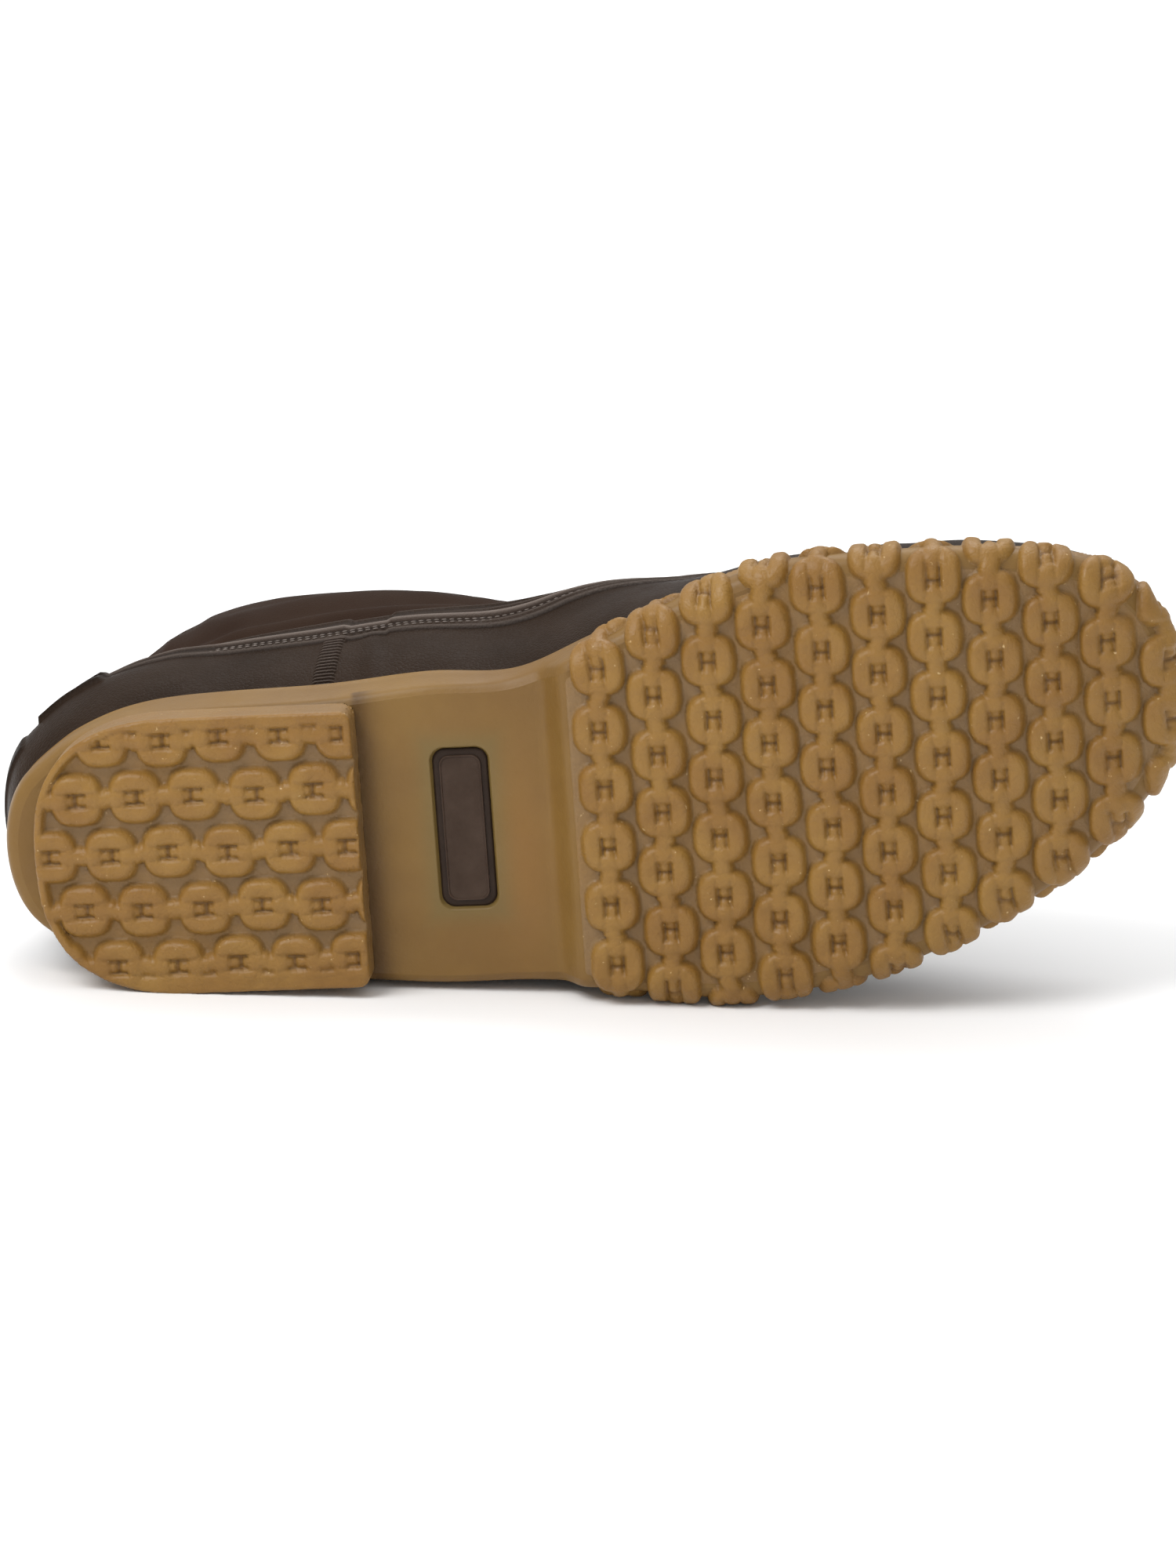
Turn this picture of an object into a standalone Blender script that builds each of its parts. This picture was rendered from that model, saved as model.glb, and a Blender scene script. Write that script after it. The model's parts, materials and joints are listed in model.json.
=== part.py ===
"""Laced duck boot for the left foot: gum sole, moulded rubber shell and leather shaft.

The boot is modelled standing, with x from heel to toe, y towards its outer side and z up from the
ground. It is then laid on its outer side, as it rests on a floor. Lengths are in metres.
"""
import math

import bmesh
import bpy
import numpy as np
from mathutils import Matrix, Vector

for old in list(bpy.data.objects):
    bpy.data.objects.remove(old, do_unlink=True)

# Driving sizes of the last and the sole
LENGTH = 0.268
BALL_WIDTH = 0.099
TOE_SWING = 0.025
TOE_SPRING = 0.016
SPRING_START = 0.728 * LENGTH
HEEL_SEAT = 0.0195
BALL_SEAT = 0.0115
SEAT_DROP = (0.336 * LENGTH, 0.560 * LENGTH)
INSTEP_HEIGHT = 0.082
COLLAR_HEIGHT = 0.165
ANKLE_WIDTH = 0.072
WAIST_FILL = 0.0045
WAIST_PLACE = 0.30
WAIST_SPREAD = 0.20
COLLAR_LEAN = 0.0075
BALL_TUCK = 0.0060
BALL_SHARES = (0.50, 0.66)

# Walls and clearances
SHELL_WALL = 0.0022
LEATHER_WALL = 0.0020
TONGUE_WALL = 0.0018
INSOLE_THICKNESS = 0.0040
GAP = 0.0003
TUCK_GAP = 0.0006
TONGUE_GAP = 0.0010
INSOLE_GAP = 0.0009
BAND_PROUD = 0.0008
BAND_HEIGHT = 0.55
COUNTER_PROUD = 0.0010
COUNTER_TURN = (0.80, 0.95)
LIP_THICKNESS = 0.0022
LIP_GAP = 0.0004
LIP_RINGS = 0.22
LIP_SHARES = (0.2, 0.8)
BAND_STEP = 0.06

# Sole details
TREAD_DEPTH = 0.0030
ARCH_HEIGHT = 0.0095
FOREPART_START = 0.4925 * LENGTH
ARCH_RAMP = 0.007
HEEL_BACK = 0.009
HEEL_BREAST = 0.3104 * LENGTH
HEEL_WIDTH = 0.0644
HEEL_ROUND = 0.036
HEEL_FULLNESS = 2.6
SOLE_EDGE = 0.0035
BLOCK_INSET = 0.0002
EMBED = 0.0030

# Chain tread: rings joined by links
COLUMN_FIRST = FOREPART_START + 0.0074
COLUMN_SPACING = 0.0126
COLUMN_PHASE = 0.0118
COLUMN_SHIFT = 0.0075
ROW_SPACING = 0.0132
ROW_CENTRE = 0.0008
ROW_START = 0.0036
RING_PITCH = 0.0136
RING_LENGTH = 0.0118
RING_WIDTH = 0.0115
RING_CORNER = 0.0028
LINK_WIDTH = 0.0042
SCALLOP = 0.0016
SCALLOP_HEIGHT = 0.0080

# Badge plate in the arch
BADGE_CENTRE = (0.3955 * LENGTH, 0.0018)
BADGE_SIZE = (0.0126, 0.0370)
BADGE_THICKNESS = 0.0013
BADGE_CORNER = 0.0016
BADGE_BORDER = 0.0016
BADGE_STEP = 0.0004

# Throat, tongue and lacing
WIDTH_RING = 7
THROAT_WIDTH = 0.024
TONGUE_WIDTH = 0.050
TONGUE_RISE = 0.35
TONGUE_ROUND = 0.25
TONGUE_TUCK = 0.63
TUCK_RINGS = 0.9
BACKSTAY_WIDTH = 0.022
BACKSTAY_WALL = 0.0015
BACKSTAY_FOOT = 0.1
EYELET_PAIRS = 5
EYELET_RADIUS = 0.0042
EYELET_BORE = 0.0022
EYELET_THICKNESS = 0.0010
EYELET_INSET = 0.0080
EYELET_SEAT = 0.0011
EYELET_RINGS = (6.30, 9.65)
LACE_DIAMETER = 0.0034
LACE_CLEARANCE = 0.0006

# How finely the round forms are cut
AROUND = 60
CAP_STEPS = 8
SHAFT_TURNS = 48
SHAFT_ROWS = 10
TONGUE_STEPS = 8
BACKSTAY_STEPS = 5
LACE_SIDES = 5
EYELET_SIDES = 8
LACE_STEPS = 5
WALL_SHARES = (0.25, 0.5, 0.75, 1.0)

# Sole outline: share of the length, half-breadth fullness as a share of BALL_WIDTH, toe swing share
OUTLINE_COLUMNS = ("along", "fullness", "swing")
OUTLINE = (
    (0.00, 0.690, 0.00),
    (0.03, 0.570, 0.00),
    (0.06, 0.535, 0.00),
    (0.10, 0.500, 0.00),
    (0.19, 0.420, 0.00),
    (0.27, 0.378, 0.00),
    (0.37, 0.370, 0.01),
    (0.45, 0.364, 0.03),
    (0.52, 0.410, 0.17),
    (0.60, 0.482, 0.31),
    (0.67, 0.530, 0.45),
    (0.75, 0.559, 0.57),
    (0.82, 0.582, 0.72),
    (0.90, 0.620, 0.88),
    (0.95, 0.670, 0.98),
    (1.00, 0.760, 1.00),
)

# Rings of the last from the feather edge to the collar. Back and front are shares of the length.
# A rise of 0 is the seat, 1 the instep height and 2 the collar height. Sole and leg are shares of
# the sole's and the ankle's half-breadth, waist of WAIST_FILL, lean of COLLAR_LEAN and ball of
# BALL_TUCK, by which the upper is narrower than the sole from the ball forward. Square is how far
# the leg's plan is from round towards boxy.
RING_COLUMNS = ("back", "back_rise", "front", "front_rise", "sole", "leg", "waist", "lean", "ball",
                "square")
RINGS = (
    (0.012, 0.00, 0.984, 0.00, 0.93, 0.00, 0.00, 0.00, 0.15, 0.00),
    (-0.004, 0.13, 0.986, 0.20, 0.98, 0.00, 0.45, -0.15, 0.85, 0.00),
    (-0.011, 0.31, 0.968, 0.42, 0.95, 0.00, 1.00, -0.38, 1.10, 0.00),
    (-0.004, 0.49, 0.922, 0.57, 0.385, 0.67, 0.25, -0.46, 0.90, 0.00),
    (0.008, 0.66, 0.818, 0.70, 0.08, 0.97, 0.00, -0.38, 0.25, 0.00),
    (0.021, 0.82, 0.692, 0.86, 0.00, 1.04, 0.00, -0.28, 0.00, 0.09),
    (0.029, 1.00, 0.582, 1.00, 0.00, 1.07, 0.00, -0.16, 0.00, 0.25),
    (0.034, 1.22, 0.516, 1.22, 0.00, 1.08, 0.00, 0.02, 0.00, 0.34),
    (0.033, 1.48, 0.474, 1.48, 0.00, 1.03, 0.00, 0.25, 0.00, 0.35),
    (0.029, 1.75, 0.456, 1.75, 0.00, 0.93, 0.00, 0.52, 0.00, 0.35),
    (0.023, 2.00, 0.454, 2.02, 0.00, 0.83, 0.00, 0.87, 0.00, 0.35),
)
COLLAR = len(RINGS) - 1

# Top line of the shell: half turn from the toe, and the ring that it reaches there
TOP_LINE_COLUMNS = ("turn", "ring")
TOP_LINE = (
    (0.00, 5.35),
    (0.10, 5.30),
    (0.20, 5.05),
    (0.28, 4.60),
    (0.36, 4.05),
    (0.45, 3.50),
    (0.57, 3.18),
    (0.72, 3.26),
    (0.86, 3.80),
    (1.00, 4.05),
)


def smooth_read(table, column, at):
    """Read one column of a table along its first column, on a smooth curve."""
    rows = np.array(table, float)
    knots = rows[:, 0]
    values = rows[:, column]
    slopes = np.gradient(values, knots)
    at = np.clip(np.asarray(at, float), knots[0], knots[-1])
    i = np.clip(np.searchsorted(knots, at, side="right") - 1, 0, len(knots) - 2)
    span = knots[i + 1] - knots[i]
    t = (at - knots[i]) / span
    return ((2 * t**3 - 3 * t**2 + 1) * values[i] + (t**3 - 2 * t**2 + t) * span * slopes[i]
            + (3 * t**2 - 2 * t**3) * values[i + 1] + (t**3 - t**2) * span * slopes[i + 1])


def ring_read(name, ring):
    """Read one column of the rings at a ring number, which may lie between or past them."""
    table = [(i,) + row for i, row in enumerate(RINGS)]
    column = RING_COLUMNS.index(name) + 1
    inside = smooth_read(table, column, ring)
    last_step = RINGS[-1][column - 1] - RINGS[-2][column - 1]
    return inside + np.maximum(np.asarray(ring, float) - COLLAR, 0) * last_step


def ease(t):
    """Run smoothly from 0 to 1 as t does."""
    t = np.clip(t, 0, 1)
    return t * t * (3 - 2 * t)


def toe_lift(x):
    """Height of the toe spring above the ground at x."""
    t = np.clip((np.asarray(x, float) - SPRING_START) / (LENGTH - SPRING_START), 0, None)
    return TOE_SPRING * t**2


def seat_height(x):
    """Height of the sole's upper face at x."""
    drop = ease((np.asarray(x, float) - SEAT_DROP[0]) / (SEAT_DROP[1] - SEAT_DROP[0]))
    return HEEL_SEAT + (BALL_SEAT - HEEL_SEAT) * drop + toe_lift(x)


def under_height(x):
    """Height of the sole's under face between the chains at x."""
    ramp = ease((np.asarray(x, float) - FOREPART_START + ARCH_RAMP) / ARCH_RAMP)
    return ARCH_HEIGHT + (TREAD_DEPTH - ARCH_HEIGHT) * ramp + toe_lift(x)


def half_breadth(along):
    """Half of the sole's breadth at a share of its length, without the round of its ends."""
    return BALL_WIDTH * smooth_read(OUTLINE, OUTLINE_COLUMNS.index("fullness"), along)


def centre_line(x):
    """Sideways place of the sole's centre line at x, negative towards the inner side."""
    along = np.asarray(x, float) / LENGTH
    return -TOE_SWING * smooth_read(OUTLINE, OUTLINE_COLUMNS.index("swing"), along)


def sole_ring(turns, inset, height):
    """Points round the sole, a distance inside its outline, at the height that a function gives."""
    along = (1 + np.cos(turns)) / 2
    x = inset + (LENGTH - 2 * inset) * along
    half = half_breadth(along) * (1 - 2 * inset / BALL_WIDTH)
    y = centre_line(x) - half * np.sin(turns)
    return np.stack([x, y, height(x)], axis=-1)


def last_point(turns, rings):
    """Points on the outside of the upper, by the turn from the toe and the ring number."""
    turns, rings = np.broadcast_arrays(np.asarray(turns, float), np.asarray(rings, float))
    along = (1 + np.cos(turns)) / 2
    back = ring_read("back", rings) * LENGTH
    front = ring_read("front", rings) * LENGTH
    x = back + (front - back) * along
    waist = np.exp(-((along - WAIST_PLACE) / WAIST_SPREAD) ** 2) * ring_read("waist", rings) * WAIST_FILL
    past_waist = (along - BALL_SHARES[0]) / (BALL_SHARES[1] - BALL_SHARES[0])
    tuck = ease(past_waist) * ring_read("ball", rings) * BALL_TUCK
    foot = (half_breadth(along) * ring_read("sole", rings) + waist - tuck) * np.sin(turns)
    boxy = np.abs(np.sin(turns)) ** (1 - ring_read("square", rings)) * np.sign(np.sin(turns))
    leg = ring_read("leg", rings) * ANKLE_WIDTH / 2 * boxy
    y = centre_line(x) + ring_read("lean", rings) * COLLAR_LEAN - foot - leg
    back_rise = ring_read("back_rise", rings)
    rise = back_rise + (ring_read("front_rise", rings) - back_rise) * along
    seat = seat_height(x)
    low = seat + np.minimum(rise, 1) * (INSTEP_HEIGHT - seat)
    z = low + np.maximum(rise - 1, 0) * (COLLAR_HEIGHT - INSTEP_HEIGHT)
    return np.stack([x, y, z], axis=-1)


def upper_point(turns, rings, offset):
    """Points at a distance outside the last, measured along its normal."""
    step = 1e-3
    around = last_point(turns + step, rings) - last_point(turns - step, rings)
    rising = last_point(turns, rings + step) - last_point(turns, rings - step)
    normal = np.cross(rising, around)
    normal /= np.linalg.norm(normal, axis=-1, keepdims=True)
    offset = np.asarray(offset, float)[..., None]
    return last_point(turns, rings) + normal * offset


def top_ring(turns):
    """Ring number of the shell's top line at each turn."""
    share = np.abs((np.asarray(turns, float) + math.pi) % (2 * math.pi) - math.pi) / math.pi
    return smooth_read(TOP_LINE, TOP_LINE_COLUMNS.index("ring"), share)


def make_material(name, colour, roughness, metallic=0.0):
    """Make a material with one Principled shader."""
    material = bpy.data.materials.new(name)
    material.use_nodes = True
    shader = material.node_tree.nodes["Principled BSDF"]
    shader.inputs["Base Color"].default_value = (*colour, 1.0)
    shader.inputs["Roughness"].default_value = roughness
    shader.inputs["Metallic"].default_value = metallic
    material.diffuse_color = (*colour, 1.0)
    return material


def make_object(name, points, faces, material=None):
    """Make a mesh object from points and faces, with its normals facing out."""
    mesh = bpy.data.meshes.new(name)
    mesh.from_pydata([tuple(point) for point in points], [], faces)
    bm = bmesh.new()
    bm.from_mesh(mesh)
    bmesh.ops.recalc_face_normals(bm, faces=bm.faces)
    bm.to_mesh(mesh)
    bm.free()
    mesh.shade_smooth()
    mesh.set_sharp_from_angle(angle=math.radians(40))
    made = bpy.data.objects.new(name, mesh)
    bpy.context.scene.collection.objects.link(made)
    if material is None:
        made.hide_render = True
        made.display_type = "WIRE"
    else:
        made.data.materials.append(material)
    return made


def combine(target, tool, operation):
    """Add an exact Boolean of two solids to the first one's modifiers."""
    modifier = target.modifiers.new(tool.name, "BOOLEAN")
    modifier.object = tool
    modifier.operation = operation
    modifier.solver = "EXACT"


def loop_faces(rings, count):
    """Faces between closed rings of points that follow each other in one list."""
    faces = []
    for ring in range(rings - 1):
        for i in range(count):
            a = ring * count + i
            b = ring * count + (i + 1) % count
            faces.append((a, b, b + count, a + count))
    return faces


def cap_faces(first, count):
    """Faces that close a ring by strips across it, from its first point to its middle one."""
    faces = []
    for i in range(count // 2):
        near, far = first + i, first + (count - i) % count
        corners = [near, near + 1, first + count - i - 1, far]
        faces.append(tuple(dict.fromkeys(corners)))
    return faces


def prism(outline, low, high):
    """Points and faces of an upright prism, its low and high ends given by functions of x."""
    count = len(outline)
    points = [(x, y, low(x)) for x, y in outline] + [(x, y, high(x)) for x, y in outline]
    faces = [tuple(range(count)), tuple(range(2 * count - 1, count - 1, -1))]
    return points, faces + loop_faces(2, count)


def sheet(turns, low, high, steps, outer, inner):
    """Points and faces of a curved wall between two offsets, open at its first and last turn."""
    rows = np.linspace(0, 1, steps)[:, None]
    rings = low[None, :] + (high - low)[None, :] * rows
    grid = np.broadcast_to(turns[None, :], rings.shape)
    skins = [upper_point(grid, rings, np.full(rings.shape, depth)) for depth in (outer, inner)]
    points = np.concatenate([skin.reshape(-1, 3) for skin in skins])
    wide = len(turns)
    size = wide * steps
    faces = []
    for row in range(steps - 1):
        for i in range(wide - 1):
            a = row * wide + i
            faces.append((a, a + 1, a + wide + 1, a + wide))
            faces.append((size + a, size + a + wide, size + a + wide + 1, size + a + 1))
        for i in (0, wide - 1):
            a = row * wide + i
            faces.append((a, a + wide, size + a + wide, size + a))
    for row in (0, steps - 1):
        for i in range(wide - 1):
            a = row * wide + i
            faces.append((a, a + 1, size + a + 1, size + a))
    return points, faces


def make_shell(material):
    """Rubber lower: one wall from the feather edge to the top line, with a raised band."""
    turns = np.linspace(0, 2 * math.pi, AROUND, endpoint=False)
    top = top_ring(turns)
    band = top - BAND_HEIGHT
    foot = [np.zeros(AROUND), np.full(AROUND, LIP_RINGS / 2), np.full(AROUND, LIP_RINGS)]
    wall = [LIP_RINGS + (band - LIP_RINGS) * share for share in WALL_SHARES]
    levels = foot + wall
    inner_levels = foot[::2] + wall + [(band + top) / 2, top]
    levels += [band + BAND_STEP, top - BAND_STEP, top]
    from_heel = (np.abs(turns - math.pi) - COUNTER_TURN[0]) / (COUNTER_TURN[1] - COUNTER_TURN[0])
    counter = COUNTER_PROUD * ease(1 - from_heel)
    proud = [0, 0, 0] + [counter] * 4 + [BAND_PROUD, BAND_PROUD, BAND_PROUD / 2]
    rings = [upper_point(turns, level, np.zeros(AROUND) + out) for level, out in zip(levels, proud)]
    inner = np.full(AROUND, -SHELL_WALL)
    rings += [upper_point(turns, level, inner) for level in reversed(inner_levels)]
    for ring, level in ((rings[0], levels[0]), (rings[-1], levels[0])):
        ring[:, 2] = seat_height(ring[:, 0]) + GAP
    points = np.concatenate(rings)
    faces = loop_faces(len(rings), AROUND)
    first, final = 0, (len(rings) - 1) * AROUND
    for i in range(AROUND):
        j = (i + 1) % AROUND
        faces.append((first + i, first + j, final + j, final + i))
    return make_object("shell", points, faces, material)


def make_sole_body():
    """Gum sole without its chains: plate, rounded side and the lip that holds the shell."""
    turns = np.linspace(0, 2 * math.pi, AROUND, endpoint=False)
    flat = np.zeros(AROUND)
    lip = flat + LIP_RINGS
    rings = [
        sole_ring(turns, SOLE_EDGE, under_height),
        sole_ring(turns, SOLE_EDGE * 0.3, lambda x: under_height(x) + SOLE_EDGE * 0.35),
        sole_ring(turns, 0.0, lambda x: (under_height(x) + seat_height(x)) / 2),
        upper_point(turns, lip * LIP_SHARES[0], flat + GAP + LIP_THICKNESS * 1.15),
        upper_point(turns, lip * LIP_SHARES[1], flat + GAP + LIP_THICKNESS),
        upper_point(turns, lip, flat + GAP + LIP_THICKNESS * 0.7),
        upper_point(turns, lip, flat + LIP_GAP),
        upper_point(turns, lip / 2, flat + LIP_GAP),
        upper_point(turns, flat, flat + LIP_GAP),
    ]
    rings[-1][:, 2] = seat_height(rings[-1][:, 0])
    points = np.concatenate(rings)
    faces = loop_faces(len(rings), AROUND)
    faces += cap_faces(0, AROUND) + cap_faces((len(rings) - 1) * AROUND, AROUND)
    return points, faces


def heel_outline(inset):
    """Plan of the heel block, square at the breast and round at the back."""
    half = HEEL_WIDTH / 2 - inset
    length = HEEL_ROUND - inset
    start = HEEL_BACK + HEEL_ROUND
    right = []
    for i in range(CAP_STEPS + 1):
        angle = math.pi / 2 * i / CAP_STEPS
        x = start - length * abs(math.cos(angle)) ** (2 / HEEL_FULLNESS)
        right.append((x, half * abs(math.sin(angle)) ** (2 / HEEL_FULLNESS)))
    right += [(HEEL_BREAST - inset - SOLE_EDGE, half), (HEEL_BREAST - inset, half - SOLE_EDGE)]
    return right + [(x, -y) for x, y in reversed(right) if y > 1e-6]


def chain_strip(count, start):
    """Outline of a chain along its own axis: rings with cut corners joined by narrow links."""
    side = []
    for i in range(count):
        middle = start + i * RING_PITCH
        side += [
            (middle - RING_LENGTH / 2, LINK_WIDTH / 2),
            (middle - RING_LENGTH / 2 + RING_CORNER, RING_WIDTH / 2),
            (middle + RING_LENGTH / 2 - RING_CORNER, RING_WIDTH / 2),
            (middle + RING_LENGTH / 2, LINK_WIDTH / 2),
        ]
    return side + [(along, -across) for along, across in reversed(side)]


def make_chains(name, strips, depth):
    """One solid that holds every chain of a tread, before it is clipped."""
    points, faces = [], []
    for outline in strips:
        base = len(points)
        more, sides = prism(outline, toe_lift, lambda x: toe_lift(x) + depth)
        points += more
        faces += [tuple(base + i for i in face) for face in sides]
    return make_object(name, points, faces)


def make_outsole(material):
    """Gum outsole: body, heel block, and chains clipped to the heel and to the scalloped edge."""
    sole = make_object("outsole", *make_sole_body(), material)
    block_top = ARCH_HEIGHT + EMBED
    block = make_object("heel_block", *prism(heel_outline(0), lambda x: TREAD_DEPTH,
                                             lambda x: block_top))
    combine(sole, block, "UNION")

    count = math.ceil(HEEL_BREAST / RING_PITCH) + 1
    strips = []
    for row in range(-2, 3):
        start = HEEL_BACK + ROW_START - (row % 2) * RING_PITCH / 2
        y = -ROW_CENTRE + row * ROW_SPACING
        strips.append([(x, y + across) for x, across in chain_strip(count, start)])
    heel_chain = make_chains("heel_chain", strips, TREAD_DEPTH + EMBED)
    heel_clip = make_object("heel_clip", *prism(heel_outline(BLOCK_INSET), lambda x: -EMBED,
                                                lambda x: block_top))
    combine(heel_chain, heel_clip, "INTERSECT")
    combine(sole, heel_chain, "UNION")

    columns = math.floor((LENGTH - LINK_WIDTH / 2 - COLUMN_FIRST) / COLUMN_SPACING) + 1
    count = math.ceil(BALL_WIDTH * 1.4 / RING_PITCH)
    strips = []
    for column in range(columns):
        x = COLUMN_FIRST + column * COLUMN_SPACING
        phase = (COLUMN_PHASE + column * COLUMN_SHIFT) % RING_PITCH
        start = -phase - (count // 2) * RING_PITCH
        strips.append([(x + across, y) for y, across in chain_strip(count + 1, start)])
    fore_chain = make_chains("fore_chain", strips, SCALLOP_HEIGHT)
    turns = np.linspace(0, 2 * math.pi, AROUND, endpoint=False)
    grown = sole_ring(turns, -SCALLOP, toe_lift)
    fore_clip = make_object("fore_clip", *prism([tuple(p[:2]) for p in grown], lambda x: -EMBED,
                                                lambda x: HEEL_SEAT + toe_lift(x)))
    combine(fore_chain, fore_clip, "INTERSECT")
    combine(sole, fore_chain, "UNION")

    pocket = make_object("badge_pocket", *prism(badge_outline(GAP), lambda x: 0.0,
                                                lambda x: ARCH_HEIGHT + BADGE_THICKNESS + GAP))
    combine(sole, pocket, "DIFFERENCE")
    return sole


def badge_outline(grow):
    """Plan of the badge plate, a rectangle with round corners, grown by a clearance."""
    half_x = BADGE_SIZE[0] / 2 + grow
    half_y = BADGE_SIZE[1] / 2 + grow
    corner = BADGE_CORNER + grow
    points = []
    for quarter in range(4):
        for step in range(4):
            angle = math.pi / 2 * (quarter + step / 3)
            side_x = 1 if quarter in (0, 3) else -1
            side_y = 1 if quarter in (0, 1) else -1
            x = side_x * (half_x - corner) + corner * math.cos(angle)
            y = side_y * (half_y - corner) + corner * math.sin(angle)
            points.append((BADGE_CENTRE[0] + x, -BADGE_CENTRE[1] + y))
    return points


def make_badge(material):
    """Bare badge plate whose border stands a little proud of its field."""
    rings = []
    plan = [(0, ARCH_HEIGHT + BADGE_THICKNESS), (0, ARCH_HEIGHT), (-BADGE_BORDER, ARCH_HEIGHT),
            (-BADGE_BORDER * 1.2, ARCH_HEIGHT + BADGE_STEP)]
    for grow, z in plan:
        scale_x = (BADGE_SIZE[0] / 2 + grow) / (BADGE_SIZE[0] / 2)
        scale_y = (BADGE_SIZE[1] / 2 + grow) / (BADGE_SIZE[1] / 2)
        for x, y in badge_outline(0):
            rings.append((BADGE_CENTRE[0] + (x - BADGE_CENTRE[0]) * scale_x,
                          -BADGE_CENTRE[1] + (y + BADGE_CENTRE[1]) * scale_y, z))
    count = len(badge_outline(0))
    faces = loop_faces(len(plan), count)
    faces.append(tuple(range(count)))
    final = (len(plan) - 1) * count
    faces.append(tuple(range(final, final + count)))
    return make_object("arch_badge", rings, faces, material)


def make_insole(material):
    """Insole slab inside the shell's foot, following the seat from heel to toe."""
    turns = np.linspace(0, 2 * math.pi, AROUND, endpoint=False)
    flat = np.zeros(AROUND)
    inside = flat - SHELL_WALL - INSOLE_GAP
    low = upper_point(turns, flat, inside)
    high = upper_point(turns, flat + 0.4, inside)
    low[:, 2] = seat_height(low[:, 0]) + GAP
    high[:, 2] = seat_height(high[:, 0]) + GAP + INSOLE_THICKNESS
    faces = loop_faces(2, AROUND) + cap_faces(0, AROUND) + cap_faces(AROUND, AROUND)
    return make_object("insole", np.concatenate([low, high]), faces, material)


def side_turn(width, ring):
    """Turn from the toe at which the upper is half a width away from its centre line."""
    share = width / (ring_read("leg", ring) * ANKLE_WIDTH)
    return math.asin(share ** (1 / (1 - ring_read("square", ring))))


SHAFT_OUTER = -SHELL_WALL - TUCK_GAP
SHAFT_INNER = SHAFT_OUTER - LEATHER_WALL


def make_shaft(material):
    """Leather shaft: a wall from inside the shell's top line to the collar, open at the throat."""
    edge = side_turn(THROAT_WIDTH, WIDTH_RING)
    turns = np.linspace(edge, 2 * math.pi - edge, SHAFT_TURNS)
    low = top_ring(turns) - TUCK_RINGS
    high = np.full(len(turns), float(COLLAR))
    shaft = make_object("shaft", *sheet(turns, low, high, SHAFT_ROWS, SHAFT_OUTER, SHAFT_INNER),
                        material)
    combine(shaft, make_eyelet_cutter(), "DIFFERENCE")
    return shaft


def make_backstay(material):
    """Leather strip up the back of the shaft, above the shell's top line."""
    half = side_turn(BACKSTAY_WIDTH, WIDTH_RING)
    turns = np.linspace(math.pi - half, math.pi + half, BACKSTAY_STEPS)
    low = top_ring(turns) + BACKSTAY_FOOT
    high = np.full(len(turns), float(COLLAR))
    outer = SHAFT_OUTER + GAP + BACKSTAY_WALL
    return make_object("backstay", *sheet(turns, low, high, SHAFT_ROWS, outer, SHAFT_OUTER + GAP),
                       material)


def make_tongue(material):
    """Leather tongue behind the throat, from under the shell's front to above the collar."""
    half = side_turn(TONGUE_WIDTH, WIDTH_RING)
    turns = np.linspace(-half, half, TONGUE_STEPS)
    low = top_ring(turns) - TONGUE_TUCK
    high = COLLAR + TONGUE_RISE - TONGUE_ROUND * (turns / half) ** 2
    outer = SHAFT_INNER - TONGUE_GAP
    return make_object("tongue", *sheet(turns, low, high, TONGUE_STEPS, outer, outer - TONGUE_WALL),
                       material)


def eyelet_places():
    """Turn and ring of each eyelet, row by row, inner side first."""
    places = []
    for ring in np.linspace(*EYELET_RINGS, EYELET_PAIRS):
        turn = side_turn(THROAT_WIDTH + 2 * EYELET_INSET, WIDTH_RING)
        places.append((turn, ring))
        places.append((2 * math.pi - turn, ring))
    return places


def eyelet_frame(turn, ring, offset):
    """Place on the shaft with its z axis along the leather's outward normal."""
    low, high = (Vector(upper_point(turn, ring, depth)) for depth in (0.0, 0.001))
    origin = Vector(upper_point(turn, ring, offset))
    return Matrix.Translation(origin) @ (high - low).to_track_quat("Z", "Y").to_matrix().to_4x4()


def washer(bore, radius, low, high, sides):
    """Points and faces of a round washer with a chamfered rim."""
    chamfer = (high - low) * 0.35
    profile = [(bore, low), (radius, low), (radius - chamfer, high), (bore, high)]
    points, faces = [], []
    for r, z in profile:
        for i in range(sides):
            angle = 2 * math.pi * i / sides
            points.append((r * math.cos(angle), r * math.sin(angle), z))
    faces = loop_faces(len(profile), sides)
    final = (len(profile) - 1) * sides
    for i in range(sides):
        j = (i + 1) % sides
        faces.append((final + i, final + j, j, i))
    return points, faces


def make_eyelets(material):
    """Brass eyelets, seated on the leather along both sides of the throat."""
    made = []
    for i, (turn, ring) in enumerate(eyelet_places()):
        name = f"eyelet_{'inner' if i % 2 == 0 else 'outer'}_{i // 2 + 1}"
        points, faces = washer(EYELET_BORE, EYELET_RADIUS, 0, EYELET_THICKNESS, EYELET_SIDES)
        eyelet = make_object(name, points, faces, material)
        eyelet.matrix_world = eyelet_frame(turn, ring, SHAFT_OUTER + EYELET_SEAT)
        made.append(eyelet)
    return made


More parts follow.
